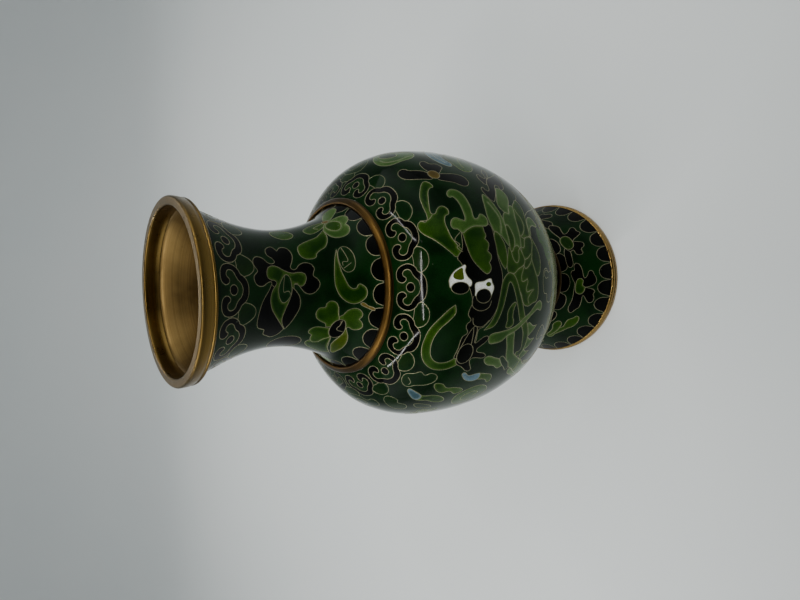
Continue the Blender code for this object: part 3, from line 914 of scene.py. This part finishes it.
def dragon_head(skin):
    """The head from in front, looking to its right, from its horns down to its beard."""
    # the long whisker, and the branched horn
    skin.cell("leaf", tip(-9, 20.1) + [(-10.5, 18.4), (-14, 15.9), (-20, 12.8), (-26, 11.8), (-31, 12.1),
        (-35.6, 14), (-38, 17.4), (-37.6, 21), (-35.3, 24.4), (-32, 26.8), (-30, 25.4), (-33.4, 21.6),
        (-34.3, 18.4), (-32.4, 15.9), (-28.5, 14.7), (-23.5, 14.8), (-19, 16.3), (-15.2, 18.8),
        (-12, 20.5)])
    skin.cell("leaf", tip(9.6, 20.6) + [(13.8, 17.6), (18, 14.6), (21, 12.2), (24, 11), (26.6, 11.3),
        (27.4, 12.6), (26.3, 14), (28, 15.1), (33, 15.3), (38, 15.9), (42.2, 17.8), (44.9, 19.9),
        (45, 21.2), (43.2, 22.2), (41, 22.2), (40.8, 20.9), (39.4, 19.6), (36.6, 18.5), (33, 17.4),
        (29.2, 16.8), (28.6, 18), (30.5, 19.6), (31, 21.3), (29.2, 22.7), (27, 22.4), (26.4, 21),
        (24, 20.1), (20.6, 20.2), (17, 20.8), (13, 22.6), (9, 25)])
    skin.wire([(27.6, 12.4), (26.8, 15), (28.4, 17)])
    # head, then the cheek and the second horn
    skin.cell("black", [(-31, 24.4), (-26, 24), (-21.4, 24.3), (-19.6, 25.8), (-17.6, 24.9), (-16.2, 25),
        (-14.6, 26.1), (-12.6, 24.9), (-10.4, 25.2), (-8, 26), (-4, 25.2), (0, 23.8), (4, 23.4), (7, 22.2),
        (9, 21.3), (12, 23.4), (21, 26), (21, 36.4), (14, 37.2), (8, 37.2), (2, 38.4), (-5, 37.6),
        (-12, 35.6), (-17, 31.8), (-18.4, 29.8), (-24, 29.6)])
    skin.wire([(11, 23.4), (13, 21.8), (14, 22.9), (16, 21.6), (18.6, 24)])
    skin.cell("leaf", [(2.4, 31.4), (4.6, 28.8), (8, 26.4), (12.5, 25.3), (17, 24.9), (21, 25), (21.4, 29),
        (21, 33.1)] + tip(18, 33.5) + [(16.6, 33.8)] + tip(15.3, 32.9) + [(13.8, 34.1), (12.6, 34)]
        + tip(10.6, 33) + [(9.4, 34.2), (8, 34.2)] + tip(6.4, 33) + [(4.6, 33.6), (3, 32.9)])
    skin.cell("pale_leaf", [(18.3, 25), (20, 23.6), (20.4, 22.3), (22, 21.7), (24, 22.4), (24.9, 24),
        (23.7, 26), (23.2, 27.2), (26, 27.8), (31.5, 27.7), (34, 26.7), (34, 25.6), (35.2, 25.1), (37, 26),
        (37.7, 28), (36.2, 30.3), (33.5, 31.4), (28, 31.6), (23.6, 31.2), (23.6, 32.6), (25.2, 34.4),
        (24.2, 36.1), (22, 36.6), (20.4, 35.5), (20.2, 33.4), (20.4, 30), (19.4, 27)])
    # eyes and brows
    skin.cell("white", [(-2.4, 18.3), (-0.8, 17.8), (0.9, 17.8), (2.7, 18.6), (4.4, 20.1), (5.5, 22.1),
        (6, 23.7), (3.8, 23.4), (1.6, 24.2), (-0.2, 25.6), (-2, 25), (-1.6, 22)])
    skin.cell("black", ellipse(-2.5, 21.5, 2.3, 3.1))
    skin.cell("olive", [(0.8, 20.2), (1.8, 19.2), (3.2, 19.5), (4.6, 21.2), (5, 22.5), (3.4, 22.7),
        (2.1, 22.8), (0.7, 22.6)], wired=False)
    skin.cell("white", [(-5.6, 27), (-3.8, 26.8), (-1.5, 26.7), (-0.6, 27.4), (-0.3, 29.8), (0.6, 33),
        (-0.9, 33.7), (-2.6, 34.4), (-4.8, 33.7), (-6.2, 32.8), (-4, 30)])
    skin.cell("black", ellipse(-5.6, 30.2, 2.6, 3.0))
    skin.cell("olive", ellipse(-1.4, 32.1, 0.85, 1.1), wired=False)
    skin.wire([(-5.6, 26.2), (-7.8, 25.8), (-9.7, 26.4), (-10.9, 28.3), (-10.9, 30.6), (-9.7, 32.7),
        (-7.4, 33.5)])
    skin.wire([(-13.8, 26.8), (-16.2, 27.4), (-17.2, 29.8), (-16.8, 31.5), (-14.6, 33.6)])
    # jaw, beard and tongue
    for points in ([(-34, 58), (-33.5, 60.5)] + tip(-31.2, 63.2) + [(-30.6, 60), (-29.6, 57.4)],
                   [(-29, 57.4), (-28.6, 60.4)] + tip(-25, 63.2) + [(-25, 60), (-24, 57)],
                   [(-23, 57), (-21, 60)] + tip(-18.9, 62) + [(-19, 59.4), (-17.6, 55)]):
        skin.cell("pale_leaf", points)
    skin.cell("pale_leaf", [(-20.3, 44), (-27, 46.3), (-31, 48), (-35, 51), (-37.5, 54), (-39.2, 57),
        (-40.6, 59.4), (-35.6, 59.6), (-34.2, 58.2), (-32.4, 55.5), (-30, 52), (-27.5, 50.6), (-23.5, 48.8),
        (-20, 47.4)])
    skin.cell("leaf", tip(-18.5, 32) + [(-16, 34), (-12, 35.9), (-6, 37.2), (-1, 38.3), (1.2, 39.8),
        (2.4, 41.6), (2.2, 43.4), (1.2, 44.8), (-1, 46), (-5, 47.6), (-10, 50), (-14, 52), (-17.5, 54.6),
        (-22, 57), (-26, 57.9), (-30, 57.8), (-31.8, 56.8), (-32.2, 55.2), (-31.2, 53.8), (-29.9, 53.4),
        (-29.6, 55), (-28.4, 55.7), (-25, 54.6), (-21, 53.2), (-15.5, 49.2), (-10, 46.8), (-5, 44.8),
        (-2, 43.4), (-0.9, 42.4), (-1.5, 41.5), (-5, 40.4), (-10, 39.2), (-14, 37.9), (-17, 36.2)])
    skin.cell("leaf", [(-18, 42.4), (-15, 42.2), (-12, 41.8), (-10, 42.8), (-8.5, 44.7), (-8.8, 45.8),
        (-10.5, 45), (-13.5, 44.8), (-17, 45.8)])
    skin.cell("pale_leaf", [(-23.8, 36), (-20.6, 35.4), (-19.5, 40), (-18.8, 44), (-17.5, 48), (-15, 51.5),
        (-13, 55), (-10.5, 57.5), (-9, 59.8), (-9, 61.4), (-10.5, 63), (-12.8, 62.6), (-12.2, 60),
        (-13.4, 57.5), (-15.2, 55), (-17, 52.5), (-19, 49.5), (-20.3, 47), (-21.3, 44.3), (-23.3, 42),
        (-24, 39)])
    # muzzle, lip and nostril
    skin.cell("black", [(-33, 25.3), (-34.5, 28), (-36.4, 31), (-35.7, 32.4), (-33.8, 31.4), (-31.4, 30.2),
        (-30.1, 31), (-30.2, 35.7), (-29.2, 36.4), (-28, 34.8), (-27.6, 32.4), (-26.8, 31.4), (-25.5, 31.8),
        (-23.5, 34), (-21.7, 35), (-20.8, 34.2), (-21.4, 32.4), (-23.6, 30), (-23, 29.4), (-17.6, 29.2),
        (-17, 28), (-20, 26.3), (-24, 25.2), (-28, 24.6)])
    skin.wire([(-17.6, 27.8), (-21, 28.2), (-24.4, 28.4)])
    skin.cell("black", ellipse(-28.5, 27.3, 4.4, 2.9))


def flames(skin):
    """Thin flames and tufts before the muzzle, tipped with blue."""
    skin.cell("leaf", [(-53.8, 15.6), (-57.6, 18), (-59.1, 21.5), (-57.2, 25), (-57.5, 28), (-56, 31.4),
        (-53, 29.6), (-52.4, 25.5), (-54.5, 22), (-53.6, 19)])
    skin.cell("sky", [(-53.9, 15.6), (-57.7, 18.1), (-58.9, 21.4), (-55.2, 21.6), (-53.9, 19)])
    skin.cell("leaf", [(-45.4, 22.4), (-48.6, 24), (-50, 27), (-48.4, 30), (-50, 33.4), (-47.4, 35.4),
        (-45.8, 31), (-46.4, 27.6), (-44.6, 25)])
    skin.cell("deep", [(-62.4, 23), (-65, 25), (-64.4, 28), (-62, 30), (-60.6, 27)])
    skin.cell("leaf", [(-37.4, 30.2), (-40.6, 32), (-42, 35), (-41.3, 39), (-42, 43), (-44, 46.4),
        (-40, 45.4), (-38.4, 41), (-38, 37), (-38.8, 33.4)])
    skin.cell("sky", [(-37.5, 30.2), (-40.6, 32), (-42, 35), (-41.3, 38.6), (-38.1, 38.4), (-38, 36.4),
        (-38.8, 33.4)])
    skin.cell("pale_leaf", [(-31, 36.6), (-33.6, 39), (-34.6, 43), (-36.4, 46.4), (-34.8, 48.4),
        (-32, 45.6), (-30.6, 41.6), (-29.6, 38)])
    skin.cell("deep", [(-30.6, 45), (-32.4, 48.6), (-35.4, 52), (-38.6, 53), (-36.6, 50), (-33.6, 46.6)])
    skin.cell("deep", [(-52.6, 12.4), (-50, 11), (-46.5, 11.2), (-44, 13.4), (-41.5, 15.3), (-42.4, 17),
        (-40.3, 19), (-41, 21.2), (-44, 21.6), (-47.5, 19.5), (-50, 16.5), (-53, 14.5)])
    skin.cell("leaf", [(-56, 36), (-51, 35.2), (-47, 38.4), (-45.4, 43), (-47.4, 48), (-51, 50.4),
        (-56.4, 49), (-60, 44.6), (-59.6, 39.4)])
    skin.wire([(-51.6, 14.4), (-49.4, 14.4), (-47.6, 12.6)])
    skin.wire([(-57, 46), (-56.4, 41), (-52.6, 39), (-49.6, 42), (-50.6, 45.4), (-53, 44.6)])


def small_flower(skin):
    """A black three-lobed flower behind the horns."""
    skin.cell("black", [(45.4, 24.4), (46.8, 20.9), (49.5, 17.2), (52.1, 15.6), (55.4, 15.5), (57.5, 16.8),
        (57.4, 18.7), (54.8, 19.8), (52.8, 22), (50, 24.2)])
    skin.cell("black", [(49.8, 25.2), (55.4, 25), (57.8, 26.5), (57.7, 28), (54.8, 28.9), (54.1, 31),
        (51.4, 31.9), (49.4, 30.3), (47.4, 27.6)])
    skin.cell("black", [(44.4, 26), (42.2, 28.4), (40.9, 31), (38.9, 33.3), (38.8, 35.6), (40.9, 37.6),
        (44.2, 37.1), (45.9, 34.4), (46.5, 31), (46.9, 27.8)])
    skin.cell("ochre", ellipse(47.5, 26, 2.7, 2.0))


# ---------------------------------------------------------------- materials

class Nodes:
    """A material's node tree, built a node at a time."""

    def __init__(self, name, owner=None):
        self.material = owner or bpy.data.materials.new(name)
        self.material.use_nodes = True
        self.tree = self.material.node_tree
        self.shader = self.tree.nodes.get("Principled BSDF")

    def add(self, kind, settings=(), **inputs):
        """A new node; an input's name has _ where Blender has a space."""
        node = self.tree.nodes.new("ShaderNode" + kind)
        for key, value in dict(settings).items():
            setattr(node, key, value)
        for key, value in inputs.items():
            self.put(node.inputs[key.replace("_", " ")], value)
        return node

    def put(self, socket, value):
        """Gives a socket a link, a colour or a plain value."""
        if isinstance(value, bpy.types.NodeSocket):
            self.tree.links.new(value, socket)
        elif isinstance(value, tuple) and len(value) == 3 and socket.type == "RGBA":
            socket.default_value = (*value, 1.0)
        else:
            socket.default_value = value

    def where(self):
        """The place on the object, in metres."""
        return self.add("TexCoord").outputs["Object"]

    def noise(self, scale, detail=2.0, vector=None, roughness=0.5):
        """Noise from 0 to 1 with scale features to the metre."""
        return self.add("TexNoise", Vector=vector or self.where(), Scale=scale, Detail=detail,
                        Roughness=roughness).outputs["Fac"]

    def ramp(self, value, low, high, start=0.0, end=1.0):
        """value carried from low..high to start..end."""
        return self.add("MapRange", {"interpolation_type": "SMOOTHSTEP"}, Value=value,
                        From_Min=low, From_Max=high, To_Min=start, To_Max=end).outputs["Result"]

    def mix(self, factor, a, b, blend="MIX"):
        """a where factor is 0 and b where it is 1."""
        node = self.tree.nodes.new("ShaderNodeMix")
        node.data_type, node.blend_type = "RGBA", blend
        for socket, value in ((node.inputs[0], factor), (node.inputs[6], a), (node.inputs[7], b)):
            self.put(socket, value)
        return node.outputs[2]

    def scaled(self, colour, factor):
        """colour times a plain number."""
        grey = self.add("CombineColor", Red=factor, Green=factor, Blue=factor).outputs[0]
        return self.mix(1.0, colour, grey, "MULTIPLY")

    def maths(self, operation, a, b=0.0):
        """The result of a Math node."""
        node = self.tree.nodes.new("ShaderNodeMath")
        node.operation = operation
        self.put(node.inputs[0], a)
        self.put(node.inputs[1], b)
        return node.outputs[0]

    def spots(self, size, edge, chosen):
        """Round spots in some cells of a Voronoi pattern, and nothing in the others."""
        cells = self.add("TexVoronoi", Vector=self.where(), Scale=size)
        lot = self.add("SeparateColor", Color=cells.outputs["Color"]).outputs[0]
        round_spot = self.ramp(cells.outputs["Distance"], *edge, 1.0, 0.0)
        return self.maths("MULTIPLY", round_spot, self.ramp(lot, *chosen))

    def set(self, **inputs):
        """Gives the shader its inputs."""
        for key, value in inputs.items():
            self.put(self.shader.inputs[key.replace("_", " ")], value)


def enamel(name, body, shade, edge):
    """Glossy enamel: body and shade drift through each other, and edge shows beside the wires."""
    n = Nodes(name)
    drift = n.ramp(n.noise(70.0, 3.0), 0.38, 0.64)
    colour = n.mix(drift, shade, body)
    distance = n.add("Attribute", {"attribute_name": "wire_distance"}).outputs["Fac"]
    waver = n.maths("ADD", n.maths("MULTIPLY", n.noise(420.0), 0.9), 0.5)
    beside = n.ramp(n.maths("MULTIPLY", distance, waver), 0.1, 0.9, 0.6, 0.0)
    colour = n.mix(beside, colour, edge)
    grain = n.ramp(n.noise(2600.0, 1.0), 0.35, 0.7, 0.82, 1.12)
    colour = n.scaled(colour, grain)
    pit = n.spots(330.0, (0.05, 0.11), (0.955, 0.97))
    colour = n.mix(n.maths("MULTIPLY", pit, 0.3), colour, (0.16, 0.19, 0.13))
    height = n.maths("ADD", n.noise(130.0, 1.0), n.maths("MULTIPLY", pit, -0.5))
    bump = n.add("Bump", Height=height, Strength=0.3, Distance=0.00004)
    rough = n.ramp(n.noise(240.0, 3.0), 0.3, 0.75, 0.04, 0.09)
    n.set(Base_Color=colour, Roughness=rough, IOR=ENAMEL_IOR, Normal=bump.outputs["Normal"])
    return n.material


def brass(name, bright, dull, roughness, turned, tarnish, grime):
    """Brass with fine turning lines round the axis, rubbing, a dull tarnish in patches and dark spots."""
    n = Nodes(name)
    patch = n.ramp(n.noise(60.0, 4.0, roughness=0.6), 0.45, 0.75, 0.0, 1.0)
    colour = n.mix(n.maths("MULTIPLY", patch, tarnish), bright, dull)
    spot = n.spots(260.0, (0.06, 0.2), (0.9, 0.92))
    colour = n.mix(n.maths("MULTIPLY", spot, grime), colour, (0.05, 0.028, 0.01))
    x, y, z = n.add("SeparateXYZ", Vector=n.where()).outputs
    radius = n.maths("SQRT", n.maths("ADD", n.maths("MULTIPLY", x, x), n.maths("MULTIPLY", y, y)))
    round_axis = n.add("CombineXYZ", X=radius, Y=0.0, Z=z).outputs[0]
    lines = n.noise(5200.0, 3.0, vector=round_axis)
    shine = n.ramp(n.noise(2400.0, 2.0, vector=round_axis), 0.3, 0.7, 0.82, 1.12)
    colour = n.scaled(colour, shine)
    rub = n.noise(900.0, 4.0)
    height = n.maths("ADD", n.maths("MULTIPLY", lines, turned), n.maths("MULTIPLY", rub, 0.05))
    bump = n.add("Bump", Height=height, Strength=0.25, Distance=0.000006)
    rough = n.ramp(n.noise(300.0, 4.0), 0.3, 0.75, roughness - 0.03, roughness + 0.06)
    n.set(Base_Color=colour, Metallic=1.0, Roughness=rough, Normal=bump.outputs["Normal"])
    return n.material


def under_enamel():
    """Plain dark green counter enamel, a little uneven."""
    n = Nodes("enamel_under")
    colour = n.mix(n.ramp(n.noise(90.0, 3.0), 0.35, 0.7), (0.002, 0.011, 0.003), (0.006, 0.026, 0.007))
    spots = n.ramp(n.noise(900.0, 2.0), 0.66, 0.74)
    colour = n.mix(n.maths("MULTIPLY", spots, 0.4), colour, (0.03, 0.04, 0.02))
    bump = n.add("Bump", Height=n.noise(160.0, 2.0), Strength=0.4, Distance=0.0002)
    rough = n.ramp(n.noise(300.0), 0.3, 0.7, 0.12, 0.3)
    n.set(Base_Color=colour, Roughness=rough, Normal=bump.outputs["Normal"])
    return n.material


def make_enamels():
    """One material for each colour, in the order of COLOURS: its body, its shade and its edge."""
    tints = {
        "ground": ((0.0026, 0.0165, 0.0028), (0.0012, 0.0076, 0.0015), (0.0060, 0.0240, 0.0066)),
        "deep": ((0.0075, 0.0220, 0.0036), (0.0016, 0.0125, 0.0020), (0.0080, 0.0320, 0.0080)),
        "black": ((0.0013, 0.0018, 0.0012), (0.0007, 0.0009, 0.0007), (0.0030, 0.0036, 0.0022)),
        "leaf": ((0.0170, 0.0500, 0.0025), (0.0038, 0.0210, 0.0013), (0.0560, 0.1050, 0.0180)),
        "pale_leaf": ((0.0420, 0.0880, 0.0160), (0.0200, 0.0560, 0.0080), (0.1100, 0.1700, 0.0600)),
        "olive": ((0.0420, 0.0650, 0.0030), (0.0240, 0.0440, 0.0020), (0.0900, 0.1150, 0.0200)),
        "white": ((0.72, 0.74, 0.70), (0.58, 0.62, 0.58), (0.55, 0.56, 0.46)),
        "sky": ((0.080, 0.145, 0.185), (0.030, 0.065, 0.078), (0.150, 0.220, 0.245)),
        "ochre": ((0.0750, 0.0520, 0.0090), (0.0400, 0.0260, 0.0050), (0.1400, 0.1000, 0.0250)),
    }
    return [enamel("enamel_" + key, *tints[key]) for key in COLOURS]


# ---------------------------------------------------------------- rings and shells

def arc(x, z, radius, start, end, count):
    """Points on an arc about (x, z), with its angles in degrees from the outward direction."""
    angles = [math.radians(start + (end - start) * k / (count - 1)) for k in range(count)]
    return [(x + radius * math.cos(a), z + radius * math.sin(a)) for a in angles]


def node_span(node):
    """A turned node's outer radius, base level and top level, in millimetres."""
    low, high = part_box(node)
    return high.x / MM, low.z / MM, high.z / MM


def lip_outline():
    """Rolled rim: a band with a small bead below, a flat top, and a throat that runs into the neck."""
    radius, base, top = node_span("lip_ring")
    edge, bead = 0.7, 0.5
    outline = arc(radius - bead - 0.25, base + bead, bead, -90, 58, 9)
    outline += [(radius - 0.4, base + 1.14), (radius - 0.22, base + 1.4), (radius - 0.08, base + 2.2)]
    outline += [(radius, top - 1.5)] + arc(radius - edge, top - edge, edge, 8, 90, 8)
    outline += [(radius - 1.9, top - 0.06)] + arc(radius - 2.4, top - 0.62, 0.62, 78, 170, 7)
    outline += [(radius - 3.08, top - 1.4), (radius - 3.12, top - 2.2), (radius - 3.16, base + 1.6),
                (radius - 3.24, base + 1.0), (radius - 3.38, base + 0.5), (radius - 3.58, base)]
    return outline


def collar_outline():
    """A bead that leans in on the foot of the neck, drawn with three arcs."""
    radius, base, top = node_span("collar_ring")
    outline = arc(radius - 0.65, base + 0.3, 0.65, -50, 38, 7)
    outline += arc(radius - 2.1, base - 0.3, 2.52, 36, 62, 6)
    outline += arc(radius - 1.95, top - 0.6, 0.6, 60, 165, 8)
    return outline + [(radius - 2.9, top - 0.9), (radius - 2.9, base), (radius - 1.6, base - 0.1)]


def foot_ring_outline():
    """The heavy ring at the bottom: an upright edge, a small step, and a rounded shoulder."""
    radius, base, top = node_span("foot_ring")
    edge, shoulder = 0.4, 1.3
    bore = radius - 4.9
    outline = arc(radius - edge, base + edge, edge, -90, 0, 5)
    outline += [(radius, base + 1.9), (radius - 0.25, base + 2.15)]
    outline += arc(radius - shoulder - 0.15, top - shoulder, shoulder, 8, 90, 8)
    return outline + [(bore, top), (bore, base + 0.6), (bore + 0.6, base)]


def waist_outline():
    """A plain round bead between the bowl and the foot."""
    radius, base, top = node_span("waist_ring")
    return arc(radius - 0.9, (base + top) / 2, 0.88, 0, 345, 24)


def shell_outline(skin, outer, inner, flare):
    """A wall under a skin, between two depths, level at both ends, and thinner by flare at the top."""
    levels = np.linspace(skin.top, skin.bottom, SHELL_ROWS)
    thinner = flare * np.exp((skin.top - levels) / 1.5)
    rows = []
    for depth in (outer, inner - thinner):
        r = np.interp(levels, skin.s, skin.r) - np.interp(levels, skin.s, skin.nr) * depth
        z = np.interp(levels, skin.s, skin.z) - np.interp(levels, skin.s, skin.nz) * depth
        z[0], z[-1] = skin.z[0], skin.z[-1]
        rows.append(list(zip(r, z)))
    return rows[0][::-1] + rows[1]


# ---------------------------------------------------------------- the stage

def make_stage():
    """A pale floor that curves up into a wall behind the vase, with painted shade: it greys away from the
    vase and towards the front.
    """
    n = Nodes("paper")
    fine = n.noise(900.0, 3.0)
    colour = n.mix(n.ramp(n.noise(6.0), 0.3, 0.7), (0.865, 0.91, 0.91), (0.885, 0.925, 0.92))
    distance = n.add("VectorMath", {"operation": "LENGTH"}, Vector=n.where()).outputs["Value"]
    # painted shade: the floor greys with distance from the vase, a painted pool of light round it
    painted_falloff = n.maths("MULTIPLY", n.ramp(distance, 0.08, 0.5), 0.12)
    forward = n.add("SeparateXYZ", Vector=n.where()).outputs[1]
    # painted shade: the front of the floor greys towards the camera's side
    near = n.ramp(forward, -0.18, 0.02, 0.52, 0.0)
    # the grey (0.30, 0.32, 0.32) is the painted shade colour that both masks mix in
    colour = n.mix(n.maths("MAXIMUM", painted_falloff, near), colour, (0.30, 0.32, 0.32))
    bump = n.add("Bump", Height=fine, Strength=0.08, Distance=0.0002)
    n.set(Base_Color=colour, Roughness=0.6, Normal=bump.outputs["Normal"])
    front, back, bend, top, half_width = -2.2, 0.75, 0.5, 2.5, 2.5
    profile = [(front, 0.0), (back, 0.0)] + arc(back, bend, bend, -80, 0, 9) + [(back + bend, top)]
    points = [(x, y, z) for y, z in profile for x in (-half_width, half_width)]
    faces = [(2 * i, 2 * i + 1, 2 * i + 3, 2 * i + 2) for i in range(len(profile) - 1)]
    floor = new_object("floor", points, faces)
    floor.data.materials.append(n.material)
    floor.data.shade_smooth()


def make_lamp(name, start, end, power):
    """A thin lamp from start to end, shining down."""
    start, end = Vector((*start, LAMP_HEIGHT)), Vector((*end, LAMP_HEIGHT))
    light = bpy.data.lights.new(name, "AREA")
    light.energy, light.color = power, LAMP_COLOUR
    light.shape, light.size, light.size_y = "RECTANGLE", (end - start).length, LAMP_WIDTH
    obj = bpy.data.objects.new(name, light)
    bpy.context.scene.collection.objects.link(obj)
    obj.location = (start + end) / 2
    obj.rotation_euler = (0, 0, math.atan2(end.y - start.y, end.x - start.x))


def make_lights():
    """Lamp strips overhead, and a soft room that is bright at the sides and dark behind the camera."""
    world = bpy.data.worlds.new("studio")
    bpy.context.scene.world = world
    n = Nodes("studio", world)
    x, y, z = n.add("SeparateXYZ", Vector=n.add("TexCoord").outputs["Generated"]).outputs
    side = n.ramp(n.maths("ABSOLUTE", x), 0.3, 1.0, 0.0, 1.9)
    back = n.ramp(y, 0.1, 1.0, 0.0, 1.1)
    level = n.maths("MULTIPLY", n.ramp(z, 0.35, 0.95, 1.0, 0.0), n.ramp(z, 0.0, 0.4, 0.3, 1.0))
    room = n.maths("MULTIPLY", n.maths("ADD", side, back), level)
    background = n.tree.nodes["Background"]
    n.put(background.inputs["Color"], (0.93, 0.98, 1.0))
    n.put(background.inputs["Strength"], n.maths("ADD", room, 0.035))
    for lamp in LAMPS:
        make_lamp(*lamp)


def make_camera():
    """The photo's camera: above the lip and close, so that the foot looks small."""
    camera = bpy.data.cameras.new("camera")
    camera.sensor_width = 36.0
    camera.lens = LENS
    camera.clip_start = 0.01
    obj = bpy.data.objects.new("camera", camera)
    bpy.context.scene.collection.objects.link(obj)
    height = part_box("lip_ring")[1].z
    eye, aim = Vector(EYE) * height, Vector(AIM) * height
    turn = (aim - eye).to_track_quat("-Z", "Y").to_matrix().to_4x4()
    roll = Matrix.Rotation(math.radians(ROLL), 4, "Z")
    obj.matrix_world = Matrix.Translation(eye) @ turn @ roll
    bpy.context.scene.camera = obj


# ---------------------------------------------------------------- assembly

def build_skin(node, name, design, enamels, wire_metal, hidden, above, below):
    """An enamel skin in place of its CAD node, and its wires, shared out over meshes of a fair size."""
    skin = Skin(node, hidden, above, below)
    design(skin)
    obj, runs = make_enamel(skin, name + "_enamel_skin", enamels)
    place(obj, "ground_enamel", node)
    shares = 1 + len(runs) // WIRES_PER_MESH
    for k in range(shares):
        place(make_wires(skin, f"{name}_wires_{k + 1}", runs[k::shares], wire_metal), "wire_brass")
    return skin


def repaint(node, material):
    """A CAD node kept as it is, in a material of this scene."""
    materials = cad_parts[node].data.materials
    materials.clear()
    materials.append(material)


def main():
    """The stage, then the pieces of the vase from its enamel inwards."""
    make_camera()
    make_stage()
    make_lights()
    enamels = make_enamels()
    wire_metal = brass("wire_brass", (0.22, 0.205, 0.125), (0.14, 0.115, 0.058),
                       roughness=0.42, turned=0.0, tarnish=0.4, grime=0.0)
    ring_metal = brass("ring_brass", (0.215, 0.138, 0.043), (0.14, 0.083, 0.023),
                       roughness=0.28, turned=0.06, tarnish=0.4, grime=0.12)
    # painted shade: a darker copy of the ring brass, standing in for the dark surroundings that the lip
    # reflects
    lip_metal_painted_shade = brass("lip_brass_painted_shade", (0.135, 0.085, 0.023), (0.09, 0.050, 0.012),
                      roughness=0.30, turned=0.06, tarnish=0.3, grime=0.06)
    # painted shade: a much darker copy of the ring brass, standing in for the dark surroundings that the
    # collar reflects
    collar_metal_painted_shade = brass("collar_brass_painted_shade", (0.066, 0.037, 0.010), (0.048, 0.025, 0.006),
                         roughness=0.32, turned=0.05, tarnish=0.3, grime=0.0)
    # painted shade: a much darker copy of the ring brass for the waist bead, which sits in shadow between
    # the bowl and the foot
    waist_metal_painted_shade = brass("waist_brass_painted_shade", (0.045, 0.030, 0.012), (0.02, 0.013, 0.006),
                       roughness=0.5, turned=0.5, tarnish=0.4, grime=0.0)
    # painted shade: the inside brass is darker than the ring brass, standing in for the dim light inside
    # the neck
    inside_metal_painted_shade = brass("inside_brass_painted_shade", (0.145, 0.093, 0.032), (0.10, 0.062, 0.018),
                         roughness=0.40, turned=0.25, tarnish=0.5, grime=0.2)

    neck = build_skin("neck_enamel", "neck", neck_design, enamels, wire_metal,
                      hidden=0.65, above=0.25, below=0.35)
    build_skin("body_enamel", "body", body_design, enamels, wire_metal,
               hidden=0.15, above=0.9, below=0.3)
    foot = build_skin("foot_enamel", "foot", foot_design, enamels, wire_metal,
                      hidden=0.0, above=0.2, below=0.2)

    for node, name, outline, metal in (("lip_ring", "mouth_ring", lip_outline(), lip_metal_painted_shade),
                                       ("collar_ring", "collar_bead", collar_outline(), collar_metal_painted_shade),
                                       ("foot_ring", "standing_ring", foot_ring_outline(), ring_metal),
                                       ("waist_ring", "waist_bead", waist_outline(), waist_metal_painted_shade)):
        place(make_turned(name, outline, metal), "ring_brass", node)
    neck_wall = shell_outline(neck, outer=1.1, inner=1.5, flare=0.33)
    foot_wall = shell_outline(foot, outer=1.4, inner=2.6, flare=0.0)
    place(make_turned("neck_tube", neck_wall, inside_metal_painted_shade), "shell_brass", "neck_shell")
    place(make_turned("foot_wall", foot_wall, inside_metal_painted_shade), "shell_brass", "foot_shell")
    repaint("shoulder_shell", inside_metal_painted_shade)
    repaint("belly_shell", inside_metal_painted_shade)
    repaint("base_enamel", under_enamel())


main()
